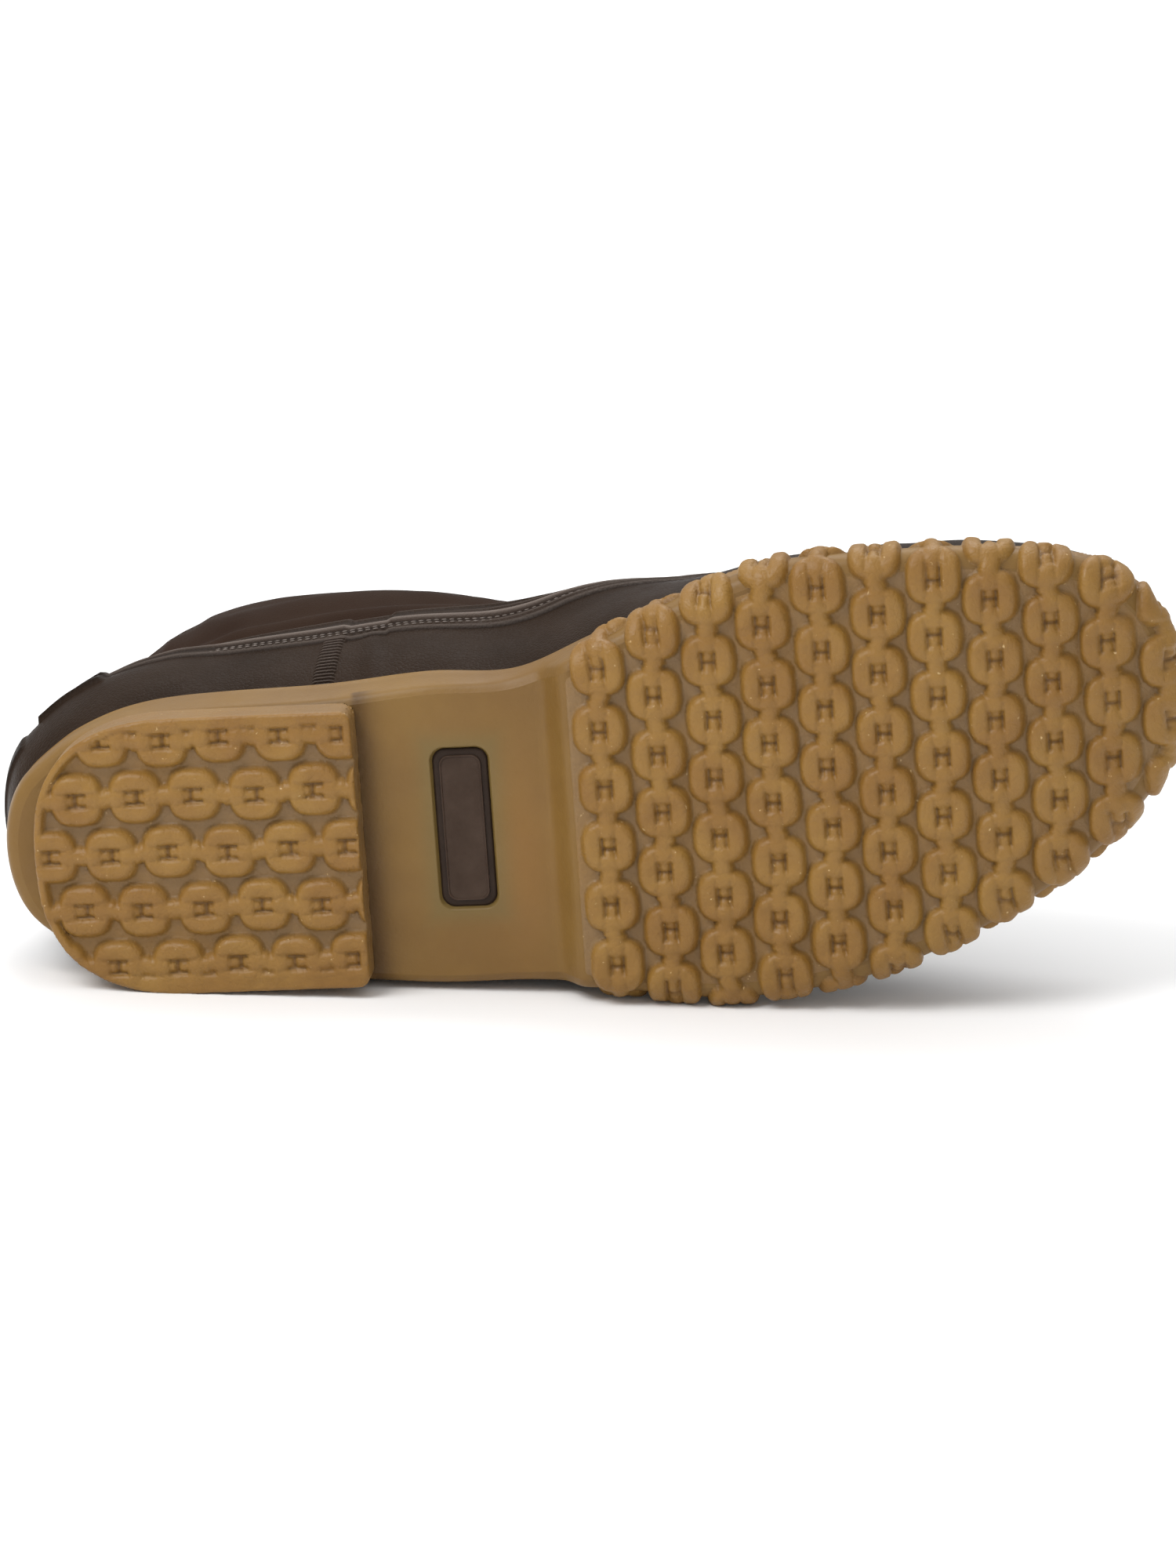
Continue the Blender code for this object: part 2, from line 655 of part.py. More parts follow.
def make_eyelet_cutter():
    """One cutter with a pin through the leather at each eyelet."""
    points, faces = [], []
    for turn, ring in eyelet_places():
        frame = eyelet_frame(turn, ring, SHAFT_OUTER)
        base = len(points)
        angles = [2 * math.pi * i / EYELET_SIDES for i in range(EYELET_SIDES)]
        circle = [(EYELET_BORE * math.cos(a), EYELET_BORE * math.sin(a)) for a in angles]
        more, sides = prism(circle, lambda x: -2 * LEATHER_WALL, lambda x: LEATHER_WALL)
        points += [tuple(frame @ Vector(point)) for point in more]
        faces += [tuple(base + i for i in face) for face in sides]
    return make_object("eyelet_holes", points, faces)


def tube(route, radius, sides):
    """Points and faces of a closed tube along a route of points."""
    points, faces = [], []
    side = Vector((1, 0, 0))
    for i, here in enumerate(route):
        before, after = route[max(i - 1, 0)], route[min(i + 1, len(route) - 1)]
        along = (after - before).normalized()
        side = (side - along * side.dot(along)).normalized()
        other = along.cross(side)
        for step in range(sides):
            angle = 2 * math.pi * step / sides
            points.append(here + (side * math.cos(angle) + other * math.sin(angle)) * radius)
    faces = loop_faces(len(route), sides)
    faces.append(tuple(range(sides)))
    faces.append(tuple(range((len(route) - 1) * sides, len(route) * sides)))
    return points, faces


def make_lace(material):
    """Lace crossings between the eyelets, joined, with a bar across the lowest pair."""
    lift = SHAFT_OUTER + EYELET_SEAT + EYELET_THICKNESS + LACE_CLEARANCE + LACE_DIAMETER / 2
    turn = side_turn(THROAT_WIDTH + 2 * EYELET_INSET, WIDTH_RING)
    rows = np.linspace(*EYELET_RINGS, EYELET_PAIRS)
    runs = []
    for side in (1, -1):
        stops = [(side * turn * (-1) ** i, ring) for i, ring in enumerate(rows)]
        route = []
        for (turn_a, ring_a), (turn_b, ring_b) in zip(stops, stops[1:]):
            for share in np.linspace(0, 1, LACE_STEPS + 1)[:-1]:
                ring = ring_a + (ring_b - ring_a) * share
                route.append(Vector(upper_point(turn_a + (turn_b - turn_a) * share, ring, lift)))
        route.append(Vector(upper_point(*stops[-1], lift)))
        runs.append(route)
    across = np.linspace(-turn, turn, LACE_STEPS + 1)
    runs.append([Vector(upper_point(place, rows[0], lift)) for place in across])
    lace = make_object("lace", *tube(runs[0], LACE_DIAMETER / 2, LACE_SIDES), material)
    for name, route in zip(("lace_return", "lace_bar"), runs[1:]):
        combine(lace, make_object(name, *tube(route, LACE_DIAMETER * 0.49, LACE_SIDES)), "UNION")
    return lace


def rest_frame(pieces):
    """Turn that lays the boot on its outer side, on the hull face beside its centre of volume."""
    bpy.context.view_layer.update()
    graph = bpy.context.evaluated_depsgraph_get()
    hull = bmesh.new()
    weighed, volume = Vector(), 0.0
    for piece in pieces:
        solid = piece.evaluated_get(graph).data
        places = [piece.matrix_world @ vertex.co for vertex in solid.vertices]
        solid.calc_loop_triangles()
        for triangle in solid.loop_triangles:
            a, b, c = (places[i] for i in triangle.vertices)
            part = a.dot(b.cross(c)) / 6
            weighed += (a + b + c) / 4 * part
            volume += part
        for place in places:
            hull.verts.new(place)
    middle = weighed / volume
    bmesh.ops.convex_hull(hull, input=hull.verts)
    hull.normal_update()
    outward = Vector((0, 1, 0))
    best, normal = math.inf, outward
    for face in hull.faces:
        away = face.verts[0].co - middle
        side = face.normal * math.copysign(1, face.normal.dot(away))
        facing = side.dot(outward)
        if facing > 0.5 and away.dot(side) / facing < best:
            best, normal = away.dot(side) / facing, side.copy()
    hull.free()
    down = Vector((0, 0, -1))
    lay = normal.rotation_difference(down).to_matrix()
    toe = lay @ Vector((1, 0, 0))
    spin = Matrix.Rotation(-math.atan2(toe.y, toe.x), 3, "Z")
    return (spin @ lay).to_4x4(), graph


def lay_down(pieces, resting):
    """Parent every piece to one frame, turned to lie with its lowest point on the floor."""
    turn, graph = rest_frame(resting)
    corners = []
    for piece in pieces:
        solid = piece.evaluated_get(graph)
        corners += [turn @ (piece.matrix_world @ vertex.co) for vertex in solid.data.vertices]
    box = np.array(corners)
    low, high = box.min(axis=0), box.max(axis=0)
    shift = Vector((-(low[0] + high[0]) / 2, -(low[1] + high[1]) / 2, -low[2]))
    frame = bpy.data.objects.new("boot", None)
    bpy.context.scene.collection.objects.link(frame)
    for each in list(bpy.data.objects):
        if each is not frame:
            each.parent = frame
    frame.matrix_world = Matrix.Translation(shift) @ turn


def build():
    """Make every piece of the boot and lay it on its side."""
    gum = make_material("gum_rubber", (0.36, 0.20, 0.075), 0.45)
    brown_rubber = make_material("brown_rubber", (0.055, 0.036, 0.026), 0.40)
    leather = make_material("brown_leather", (0.075, 0.045, 0.030), 0.62)
    tongue_leather = make_material("tongue_leather", (0.070, 0.043, 0.030), 0.66)
    strip_leather = make_material("backstay_leather", (0.068, 0.040, 0.027), 0.60)
    badge_rubber = make_material("badge_rubber", (0.070, 0.045, 0.033), 0.42)
    lining = make_material("insole_felt", (0.33, 0.26, 0.19), 0.90)
    brass = make_material("brass", (0.62, 0.44, 0.18), 0.32, 1.0)
    cotton = make_material("lace_cord", (0.16, 0.10, 0.06), 0.80)

    outsole = make_outsole(gum)
    shell = make_shell(brown_rubber)
    shaft = make_shaft(leather)
    pieces = [outsole, shell, shaft, make_badge(badge_rubber), make_insole(lining),
              make_tongue(tongue_leather), make_backstay(strip_leather), make_lace(cotton)]
    pieces += make_eyelets(brass)
    lay_down(pieces, [outsole, shell, shaft])


build()
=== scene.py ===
"""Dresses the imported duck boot: gum sole with chain tread, brown rubber shell and leather shaft.

Shapes are worked out standing, in the boot's own frame (x from heel to toe, y towards its outer
side, z up from the ground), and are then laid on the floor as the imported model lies.
"""
import json
import logging
import math
from dataclasses import dataclass, field
from enum import Enum
from typing import Dict, List, Optional, Sequence, Tuple

import bpy
import numpy as np
from mathutils import Matrix, Vector, kdtree


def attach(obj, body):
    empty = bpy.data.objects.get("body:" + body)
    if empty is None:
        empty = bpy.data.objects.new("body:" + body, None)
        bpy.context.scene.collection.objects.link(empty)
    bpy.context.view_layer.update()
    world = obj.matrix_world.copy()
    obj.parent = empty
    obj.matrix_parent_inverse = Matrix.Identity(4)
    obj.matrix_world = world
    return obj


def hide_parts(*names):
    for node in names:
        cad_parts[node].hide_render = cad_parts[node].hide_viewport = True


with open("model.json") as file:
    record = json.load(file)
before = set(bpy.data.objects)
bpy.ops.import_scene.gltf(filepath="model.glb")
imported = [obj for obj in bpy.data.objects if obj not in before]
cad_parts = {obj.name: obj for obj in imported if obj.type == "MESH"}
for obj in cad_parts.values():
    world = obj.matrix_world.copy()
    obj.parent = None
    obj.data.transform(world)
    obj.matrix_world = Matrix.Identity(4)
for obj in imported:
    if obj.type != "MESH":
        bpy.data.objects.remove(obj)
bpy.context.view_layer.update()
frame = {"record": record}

Array = np.ndarray
Colour = Tuple[float, float, float]
Socket = bpy.types.NodeSocket
Material = bpy.types.Material
Piece = bpy.types.Object
LOG = logging.getLogger("duck_boot")


class Side(Enum):
    """Sides of the boot, by the sign of their turn from the toe."""

    INNER = 1
    OUTER = -1


def ease(t: Array) -> Array:
    """Run smoothly from 0 to 1 as t does."""
    t = np.clip(t, 0.0, 1.0)
    return t * t * (3 - 2 * t)


def hump(distance: Array, width: float) -> Array:
    """Bell of height 1 round a distance of 0."""
    return np.exp(-(distance / width) ** 2)


def window(place: Array, low: float, high: float, blend: float) -> Array:
    """Be 1 between two places and 0 beyond them, with a soft step of one blend past each."""
    return ease((place - low) / blend) * (1 - ease((place - high) / blend))


def quarter_round(t: Array) -> Array:
    """Rise from 0 to 1 as a quarter of a circle while t does."""
    return np.sqrt(np.clip(1 - (1 - np.clip(t, 0, 1)) ** 2, 0, 1))


def smooth_max(a: Array, b: Array, blend: float) -> Array:
    """Larger of two heights, with the corner between them rounded over a blend."""
    share = np.clip(0.5 + 0.5 * (a - b) / blend, 0.0, 1.0)
    return b + (a - b) * share + blend * share * (1 - share)


def smooth_read(table: Sequence[Sequence[float]], column: int, at: Array) -> Array:
    """Read one column of a table along its first column, on a smooth curve.

    Args:
        table: Rows in the order of their first value.
        column: Number of the column that is read.
        at: Places along the first column.

    Returns:
        The column's value at each place.
    """
    rows = np.array(table, float)
    knots, values = rows[:, 0], rows[:, column]
    slopes = np.gradient(values, knots)
    at = np.clip(np.asarray(at, float), knots[0], knots[-1])
    i = np.clip(np.searchsorted(knots, at, side="right") - 1, 0, len(knots) - 2)
    span = knots[i + 1] - knots[i]
    t = (at - knots[i]) / span
    return ((2 * t**3 - 3 * t**2 + 1) * values[i] + (t**3 - 2 * t**2 + t) * span * slopes[i]
            + (3 * t**2 - 2 * t**3) * values[i + 1] + (t**3 - t**2) * span * slopes[i + 1])


class Unevenness:
    """Smooth random field over a plane, for the small faults of moulded rubber and leather."""

    SIZE = 97

    def __init__(self, seed: int) -> None:
        """Draw the field's values from one seed."""
        self.values = np.random.default_rng(seed).uniform(-1.0, 1.0, (self.SIZE, self.SIZE))

    def read(self, x: Array, y: Array, scale: float) -> Array:
        """Read the field at places in metres.

        Args:
            x: First coordinates.
            y: Second coordinates.
            scale: Distance between the field's independent values.

        Returns:
            Values from about -1 to 1.
        """
        u, v = np.asarray(x) / scale, np.asarray(y) / scale
        i, j = np.floor(u).astype(int), np.floor(v).astype(int)
        s, t = ease(u - i), ease(v - j)
        corner = [self.values[(i + a) % self.SIZE, (j + b) % self.SIZE]
                  for a in (0, 1) for b in (0, 1)]
        return ((corner[0] * (1 - t) + corner[1] * t) * (1 - s)
                + (corner[2] * (1 - t) + corner[3] * t) * s)


@dataclass(frozen=True)
class Last:
    """Sizes and surfaces of the foot form that the sole, shell, shaft and tongue all follow."""

    length: float = 0.268
    ball_width: float = 0.099
    toe_swing: float = 0.025
    toe_spring: float = 0.016
    spring_share: float = 0.728
    heel_seat: float = 0.0195
    ball_seat: float = 0.0115
    drop_shares: Tuple[float, float] = (0.336, 0.560)
    instep_height: float = 0.082
    collar_height: float = 0.165
    ankle_width: float = 0.072
    waist_fill: float = 0.0045
    waist_place: float = 0.30
    waist_spread: float = 0.20
    collar_lean: float = 0.0075
    ball_tuck: float = 0.0060
    ball_shares: Tuple[float, float] = (0.50, 0.66)
    tread_depth: float = 0.0030
    arch_height: float = 0.0095
    forepart_share: float = 0.4925
    arch_ramp: float = 0.007
    badge_share: float = 0.3955
    badge_side: float = -0.0018

    # Sole outline: share of the length, fullness as a share of the ball width, toe swing share
    OUTLINE = (
        (0.00, 0.690, 0.00),
        (0.03, 0.570, 0.00),
        (0.06, 0.535, 0.00),
        (0.10, 0.500, 0.00),
        (0.19, 0.420, 0.00),
        (0.27, 0.378, 0.00),
        (0.37, 0.370, 0.01),
        (0.45, 0.364, 0.03),
        (0.52, 0.410, 0.17),
        (0.60, 0.482, 0.31),
        (0.67, 0.530, 0.45),
        (0.75, 0.559, 0.57),
        (0.82, 0.582, 0.72),
        (0.90, 0.620, 0.88),
        (0.95, 0.670, 0.98),
        (1.00, 0.760, 1.00),
    )
    RING_COLUMNS = ("back", "back_rise", "front", "front_rise", "sole", "leg", "waist", "lean",
                    "ball", "square")
    RINGS = (
        (0.012, 0.00, 0.984, 0.00, 0.93, 0.00, 0.00, 0.00, 0.15, 0.00),
        (-0.004, 0.13, 0.986, 0.20, 0.98, 0.00, 0.45, -0.15, 0.85, 0.00),
        (-0.011, 0.31, 0.968, 0.42, 0.95, 0.00, 1.00, -0.38, 1.10, 0.00),
        (-0.004, 0.49, 0.922, 0.57, 0.385, 0.67, 0.25, -0.46, 0.90, 0.00),
        (0.008, 0.66, 0.818, 0.70, 0.08, 0.97, 0.00, -0.38, 0.25, 0.00),
        (0.021, 0.82, 0.692, 0.86, 0.00, 1.04, 0.00, -0.28, 0.00, 0.09),
        (0.029, 1.00, 0.582, 1.00, 0.00, 1.07, 0.00, -0.16, 0.00, 0.25),
        (0.034, 1.22, 0.516, 1.22, 0.00, 1.08, 0.00, 0.02, 0.00, 0.34),
        (0.033, 1.48, 0.474, 1.48, 0.00, 1.03, 0.00, 0.25, 0.00, 0.35),
        (0.029, 1.75, 0.456, 1.75, 0.00, 0.93, 0.00, 0.52, 0.00, 0.35),
        (0.023, 2.00, 0.454, 2.02, 0.00, 0.83, 0.00, 0.87, 0.00, 0.35),
    )
    # Top line of the shell: half turn from the toe, and the ring that it reaches there
    TOP_LINE = (
        (0.00, 5.35),
        (0.10, 5.30),
        (0.20, 5.05),
        (0.28, 4.60),
        (0.36, 4.05),
        (0.45, 3.50),
        (0.57, 3.18),
        (0.72, 3.26),
        (0.86, 3.80),
        (1.00, 4.05),
    )

    @property
    def collar(self) -> int:
        """Number of the ring at the collar."""
        return len(self.RINGS) - 1

    @property
    def forepart(self) -> float:
        """Place along the boot where the forefoot's tread starts."""
        return self.forepart_share * self.length

    @property
    def badge_centre(self) -> Tuple[float, float]:
        """Middle of the badge and of its pocket, along the boot and across it."""
        return self.badge_share * self.length, self.badge_side

    def ring_read(self, name: str, ring: Array) -> Array:
        """Read one column of the rings at a ring number, which may lie between or past them.

        Args:
            name: Name of the column.
            ring: Ring numbers.

        Returns:
            The column's value at each ring.
        """
        table = [(i,) + row for i, row in enumerate(self.RINGS)]
        column = self.RING_COLUMNS.index(name) + 1
        last_step = self.RINGS[-1][column - 1] - self.RINGS[-2][column - 1]
        past = np.maximum(np.asarray(ring, float) - self.collar, 0)
        return smooth_read(table, column, ring) + past * last_step

    def toe_lift(self, x: Array) -> Array:
        """Height of the toe spring above the ground at x.

        Args:
            x: Places along the boot.

        Returns:
            The lift at each place.
        """
        start = self.spring_share * self.length
        t = np.clip((np.asarray(x, float) - start) / (self.length - start), 0, None)
        return self.toe_spring * t**2

    def seat_height(self, x: Array) -> Array:
        """Height of the sole's upper face at x.

        Args:
            x: Places along the boot.

        Returns:
            The height at each place.
        """
        low, high = (share * self.length for share in self.drop_shares)
        drop = ease((np.asarray(x, float) - low) / (high - low))
        return self.heel_seat + (self.ball_seat - self.heel_seat) * drop + self.toe_lift(x)

    def under_height(self, x: Array) -> Array:
        """Height of the sole's under face between the chains at x."""
        ramp = ease((np.asarray(x, float) - self.forepart + self.arch_ramp) / self.arch_ramp)
        return self.arch_height + (self.tread_depth - self.arch_height) * ramp + self.toe_lift(x)

    def half_breadth(self, along: Array) -> Array:
        """Half of the sole's breadth at a share of its length, without its ends' round."""
        return self.ball_width * smooth_read(self.OUTLINE, 1, along)

    def centre_line(self, x: Array) -> Array:
        """Sideways place of the sole's centre line at x, negative towards the inner side."""
        return -self.toe_swing * smooth_read(self.OUTLINE, 2, np.asarray(x, float) / self.length)

    def outline(self, turns: Array, inset: float = 0.0) -> Array:
        """Plan of the sole at each turn, a distance inside its outline, as rows of x and y.

        Args:
            turns: Turns from the toe.
            inset: Distance inside the outline.

        Returns:
            Rows of x and y.
        """
        along = (1 + np.cos(turns)) / 2
        x = inset + (self.length - 2 * inset) * along
        half = self.half_breadth(along) * (1 - 2 * inset / self.ball_width)
        return np.stack([x, self.centre_line(x) - half * np.sin(turns)], axis=-1)

    def point(self, turns: Array, rings: Array) -> Array:
        """Points on the outside of the upper, by the turn from the toe and the ring number.

        Args:
            turns: Turns from the toe.
            rings: Ring numbers.

        Returns:
            Points, one for each turn and ring.
        """
        turns, rings = np.broadcast_arrays(np.asarray(turns, float), np.asarray(rings, float))
        along = (1 + np.cos(turns)) / 2
        back = self.ring_read("back", rings) * self.length
        front = self.ring_read("front", rings) * self.length
        x = back + (front - back) * along
        waist = hump(along - self.waist_place, self.waist_spread) * self.waist_fill
        low, high = self.ball_shares
        tuck = ease((along - low) / (high - low)) * self.ball_tuck
        foot = (self.half_breadth(along) * self.ring_read("sole", rings)
                + self.ring_read("waist", rings) * waist - self.ring_read("ball", rings) * tuck)
        swing = np.sin(turns)
        boxy = np.abs(swing) ** (1 - self.ring_read("square", rings)) * np.sign(swing)
        leg = self.ring_read("leg", rings) * self.ankle_width / 2 * boxy
        lean = self.ring_read("lean", rings) * self.collar_lean
        y = self.centre_line(x) + lean - foot * swing - leg
        back_rise = self.ring_read("back_rise", rings)
        rise = back_rise + (self.ring_read("front_rise", rings) - back_rise) * along
        seat = self.seat_height(x)
        low = seat + np.minimum(rise, 1) * (self.instep_height - seat)
        z = low + np.maximum(rise - 1, 0) * (self.collar_height - self.instep_height)
        return np.stack([x, y, z], axis=-1)

    def normal(self, turns: Array, rings: Array) -> Array:
        """Outward directions of the upper at each turn and ring.

        Args:
            turns: Turns from the toe.
            rings: Ring numbers.

        Returns:
            Directions of length 1.
        """
        step = 1e-3
        around = self.point(turns + step, rings) - self.point(turns - step, rings)
        rising = self.point(turns, rings + step) - self.point(turns, rings - step)
        across = np.cross(rising, around)
        return across / np.linalg.norm(across, axis=-1, keepdims=True)

    def offset_point(self, turns: Array, rings: Array, offset: Array) -> Array:
        """Points at a distance outside the upper's surface.

        Args:
            turns: Turns from the toe.
            rings: Ring numbers.
            offset: Distances outside the surface.

        Returns:
            Points, one for each turn, ring and offset.
        """
        turns, rings, offset = np.broadcast_arrays(np.asarray(turns, float),
                                                   np.asarray(rings, float),
                                                   np.asarray(offset, float))
        return self.point(turns, rings) + self.normal(turns, rings) * offset[..., None]

    def top_ring(self, turns: Array) -> Array:
        """Ring number of the shell's top line at each turn."""
        wrapped = (np.asarray(turns, float) + math.pi) % (2 * math.pi) - math.pi
        return smooth_read(self.TOP_LINE, 1, np.abs(wrapped) / math.pi)

    def side_turn(self, width: float, ring: float = 7.0) -> float:
        """Find where the upper reaches a width.

        Args:
            width: Width across the upper.
            ring: Ring at which it is measured.

        Returns:
            The turn from the toe at which the upper is half the width from its centre line.
        """
        share = width / float(self.ring_read("leg", ring) * self.ankle_width)
        return math.asin(share ** (1 / (1 - float(self.ring_read("square", ring)))))


@dataclass(frozen=True)
class Walls:
    """Wall thicknesses and clearances that the pieces share."""

    shell: float = 0.0022
    leather: float = 0.0020
    gap: float = 0.0003
    tuck_gap: float = 0.0006

    @property
    def shaft_outer(self) -> float:
        """Offset of the shaft's outer face from the last."""
        return -self.shell - self.tuck_gap

    @property
    def shaft_inner(self) -> float:
        """Offset of the shaft's inner face from the last."""
        return self.shaft_outer - self.leather


class RestingFrame:
    """Lays the standing boot on the floor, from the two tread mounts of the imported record."""

    HEEL_MOUNT = Vector((0.0398, -0.0008, 0.0))
    FOREFOOT_MOUNT = Vector((0.1646, 0.0004, 0.0))

    def __init__(self, record: Dict) -> None:
        """Work out the boot's axes and origin on the floor.

        Args:
            record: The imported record, whose mounts lie on the heel's and the forefoot's tread.
        """
        mounts = {mount["name"]: mount for mount in record["mounts"]}
        heel = Vector(mounts["heel_tread"]["pos_m"])
        forefoot = Vector(mounts["forefoot_tread"]["pos_m"])
        up = -Vector(mounts["heel_tread"]["axis"]).normalized()
        along = forefoot - heel
        along = (along - up * along.dot(up)).normalized()
        between = self.FOREFOOT_MOUNT - self.HEEL_MOUNT
        toe = Matrix.Rotation(-math.atan2(between.y, between.x), 3, up) @ along
        outer = up.cross(toe)
        self.turn = Matrix((toe, outer, up)).transposed()
        self.origin = heel - self.turn @ self.HEEL_MOUNT

    def place(self, points: Array) -> Array:
        """Turn rows of points from the boot's own frame into the floor's frame."""
        return np.asarray(points) @ np.array(self.turn).T + np.array(self.origin)

    def direction(self, own: Sequence[float]) -> Vector:
        """Turn one direction from the boot's own frame into the floor's frame."""
        return self.turn @ Vector(own)


class Mesh:
    """Collects points, faces and point values of one piece, in the boot's own frame."""

    def __init__(self) -> None:
        """Start with nothing."""
        self.points: List[Array] = []
        self.faces: List[Array] = []
        self.values: Dict[str, List[Array]] = {}
        self.count = 0

    def add(self, points: Array, faces: Array, **values: Array) -> None:
        """Add points, the faces between them, and named values of each point.

        Args:
            points: Rows of three coordinates.
            faces: Rows of point numbers, counted from this call's first point.
            **values: Point values, one for each point or one for all.
        """
        points = np.asarray(points, float).reshape(-1, 3)
        self.faces.append(np.asarray(faces, int) + self.count)
        self.points.append(points)
        self.count += len(points)
        for name, value in values.items():
            filled = np.broadcast_to(np.asarray(value, float), (len(points),))
            self.values.setdefault(name, []).append(filled)

    def add_grid(self, grid: Array, wrap: bool = False, **values: Array) -> None:
        """Add a sheet of quads.

        Args:
            grid: Points as rows by columns by 3.
            wrap: Join the last column to the first.
            **values: Point values, one for each point of the grid.
        """
        rows, columns = grid.shape[:2]
        index = np.arange(rows * columns).reshape(rows, columns)
        after = np.roll(index, -1, axis=1) if wrap else index[:, 1:]
        near = index if wrap else index[:, :-1]
        quads = np.stack([near[:-1], after[:-1], after[1:], near[1:]], axis=-1).reshape(-1, 4)
        flat = {name: np.asarray(value, float).reshape(-1) for name, value in values.items()}
        self.add(grid.reshape(-1, 3), quads, **flat)

    def build(self, name: str, resting: RestingFrame, material: Material,
              sharp_degrees: float = 60.0) -> Piece:
        """Make the piece's object on the floor.

        Args:
            name: Name of the piece.
            resting: Frame that lays it down.
            material: Its finish.
            sharp_degrees: Edges that turn by more than this stay sharp.

        Returns:
            The new object, linked to the scene.
        """
        mesh = bpy.data.meshes.new(name)
        points = resting.place(np.concatenate(self.points))
        faces = [face for group in self.faces for face in group.tolist()]
        mesh.from_pydata(points.tolist(), [], faces)
        for label, parts in self.values.items():
            layer = mesh.attributes.new(label, "FLOAT", "POINT")
            layer.data.foreach_set("value", np.concatenate(parts).astype(np.float32))
        mesh.validate()
        mesh.update()
        mesh.shade_smooth()
        mesh.set_sharp_from_angle(angle=math.radians(sharp_degrees))
        mesh.materials.append(material)
        piece = bpy.data.objects.new(name, mesh)
        bpy.context.scene.collection.objects.link(piece)
        return piece


class Shader:
    """Short calls for building one material's nodes."""

    def __init__(self, name: str) -> None:
        """Start a material with one Principled shader.

        Args:
            name: Name of the material.
        """
        self.material = bpy.data.materials.new(name)
        self.material.use_nodes = True
        self.nodes = self.material.node_tree.nodes
        self.links = self.material.node_tree.links
        self.surface = self.nodes["Principled BSDF"]
        self.place = self.nodes.new("ShaderNodeTexCoord").outputs["Object"]

    def link(self, source: Socket, target: Socket) -> None:
        """Join two sockets."""
        self.links.new(source, target)

    def noise(self, scale: float, detail: float, rough: float) -> Socket:
        """Plain noise over the piece, with a scale in cells for each metre.

        Args:
            scale: Cells for each metre.
            detail: Number of finer layers.
            rough: Strength of the finer layers.

        Returns:
            The socket of the noise.
        """
        node = self.nodes.new("ShaderNodeTexNoise")
        node.inputs["Scale"].default_value = scale
        node.inputs["Detail"].default_value = detail
        node.inputs["Roughness"].default_value = rough
        self.link(self.place, node.inputs["Vector"])
        return node.outputs["Fac"]

    def patches(self, scale: float, detail: float, low: float, high: float,
                to_low: float = 0.0, to_high: float = 1.0, rough: float = 0.55) -> Socket:
        """Noise over the piece, with the range from low to high spread over another range.

        Args:
            scale: Cells for each metre.
            detail: Number of finer layers.
            low: Noise that gives to_low.
            high: Noise that gives to_high.
            to_low: Least result.
            to_high: Greatest result.
            rough: Strength of the finer layers.

        Returns:
            The socket of the result.
        """
        return self.span(self.noise(scale, detail, rough), low, high, to_low, to_high)

    def pores(self, scale: float, width: float) -> Socket:
        """Thin lines between random cells, from 0 on a line to 1 past a width beside it.

        Args:
            scale: Cells for each metre.
            width: Width of a line, as a share of a cell.

        Returns:
            The socket of the result.
        """
        node = self.nodes.new("ShaderNodeTexVoronoi")
        node.feature = "DISTANCE_TO_EDGE"
        node.inputs["Scale"].default_value = scale
        self.link(self.place, node.inputs["Vector"])
        return self.span(node.outputs["Distance"], 0.0, width)

    def value(self, name: str) -> Socket:
        """Point value that the mesh carries.

        Args:
            name: Name of the value.

        Returns:
            The socket of the value.
        """
        node = self.nodes.new("ShaderNodeAttribute")
        node.attribute_name = name
        return node.outputs["Fac"]

    def span(self, source: Socket, low: float, high: float,
             to_low: float = 0.0, to_high: float = 1.0) -> Socket:
        """Map a range of values to another, held at its ends.

        Args:
            source: Socket that is read.
            low: Value that gives to_low.
            high: Value that gives to_high.
            to_low: Least result.
            to_high: Greatest result.

        Returns:
            The socket of the result.
        """
        node = self.nodes.new("ShaderNodeMapRange")
        for label, number in (("From Min", low), ("From Max", high),
                              ("To Min", to_low), ("To Max", to_high)):
            node.inputs[label].default_value = number
        self.link(source, node.inputs["Value"])
        return node.outputs["Result"]

    def mix(self, share: Socket, first: object, second: object) -> Socket:
        """Mix two colours, each a colour or a socket.

        Args:
            share: Share of the second colour.
            first: A colour or a socket.
            second: A colour or a socket.

        Returns:
            The socket of the mixed colour.
        """
        node = self.nodes.new("ShaderNodeMix")
        node.data_type = "RGBA"
        self.link(share, node.inputs["Factor"])
        first_in, second_in = (each for each in node.inputs if each.type == "RGBA")
        self._colour(first_in, first)
        self._colour(second_in, second)
        return next(each for each in node.outputs if each.type == "RGBA")

    def _colour(self, socket: Socket, colour: object) -> None:
        """Set or link one colour.

        Args:
            socket: Socket that takes it.
            colour: A colour or a socket.
        """
        if isinstance(colour, tuple):
            socket.default_value = (*colour, 1.0)
        else:
            self.link(colour, socket)

    def bump(self, height: Socket, distance: float, strength: float = 1.0,
             under: Optional[Socket] = None) -> Socket:
        """Bump from a height, on top of another bump.

        Args:
            height: Socket of the height.
            distance: Depth of the bump in metres.
            strength: Share of the bump that shows.
            under: Bump that it lies on, if there is one.

        Returns:
            The socket of the bumped normal.
        """
        node = self.nodes.new("ShaderNodeBump")
        node.inputs["Distance"].default_value = distance
        node.inputs["Strength"].default_value = strength
        self.link(height, node.inputs["Height"])
        if under is not None:
            self.link(under, node.inputs["Normal"])
        return node.outputs["Normal"]

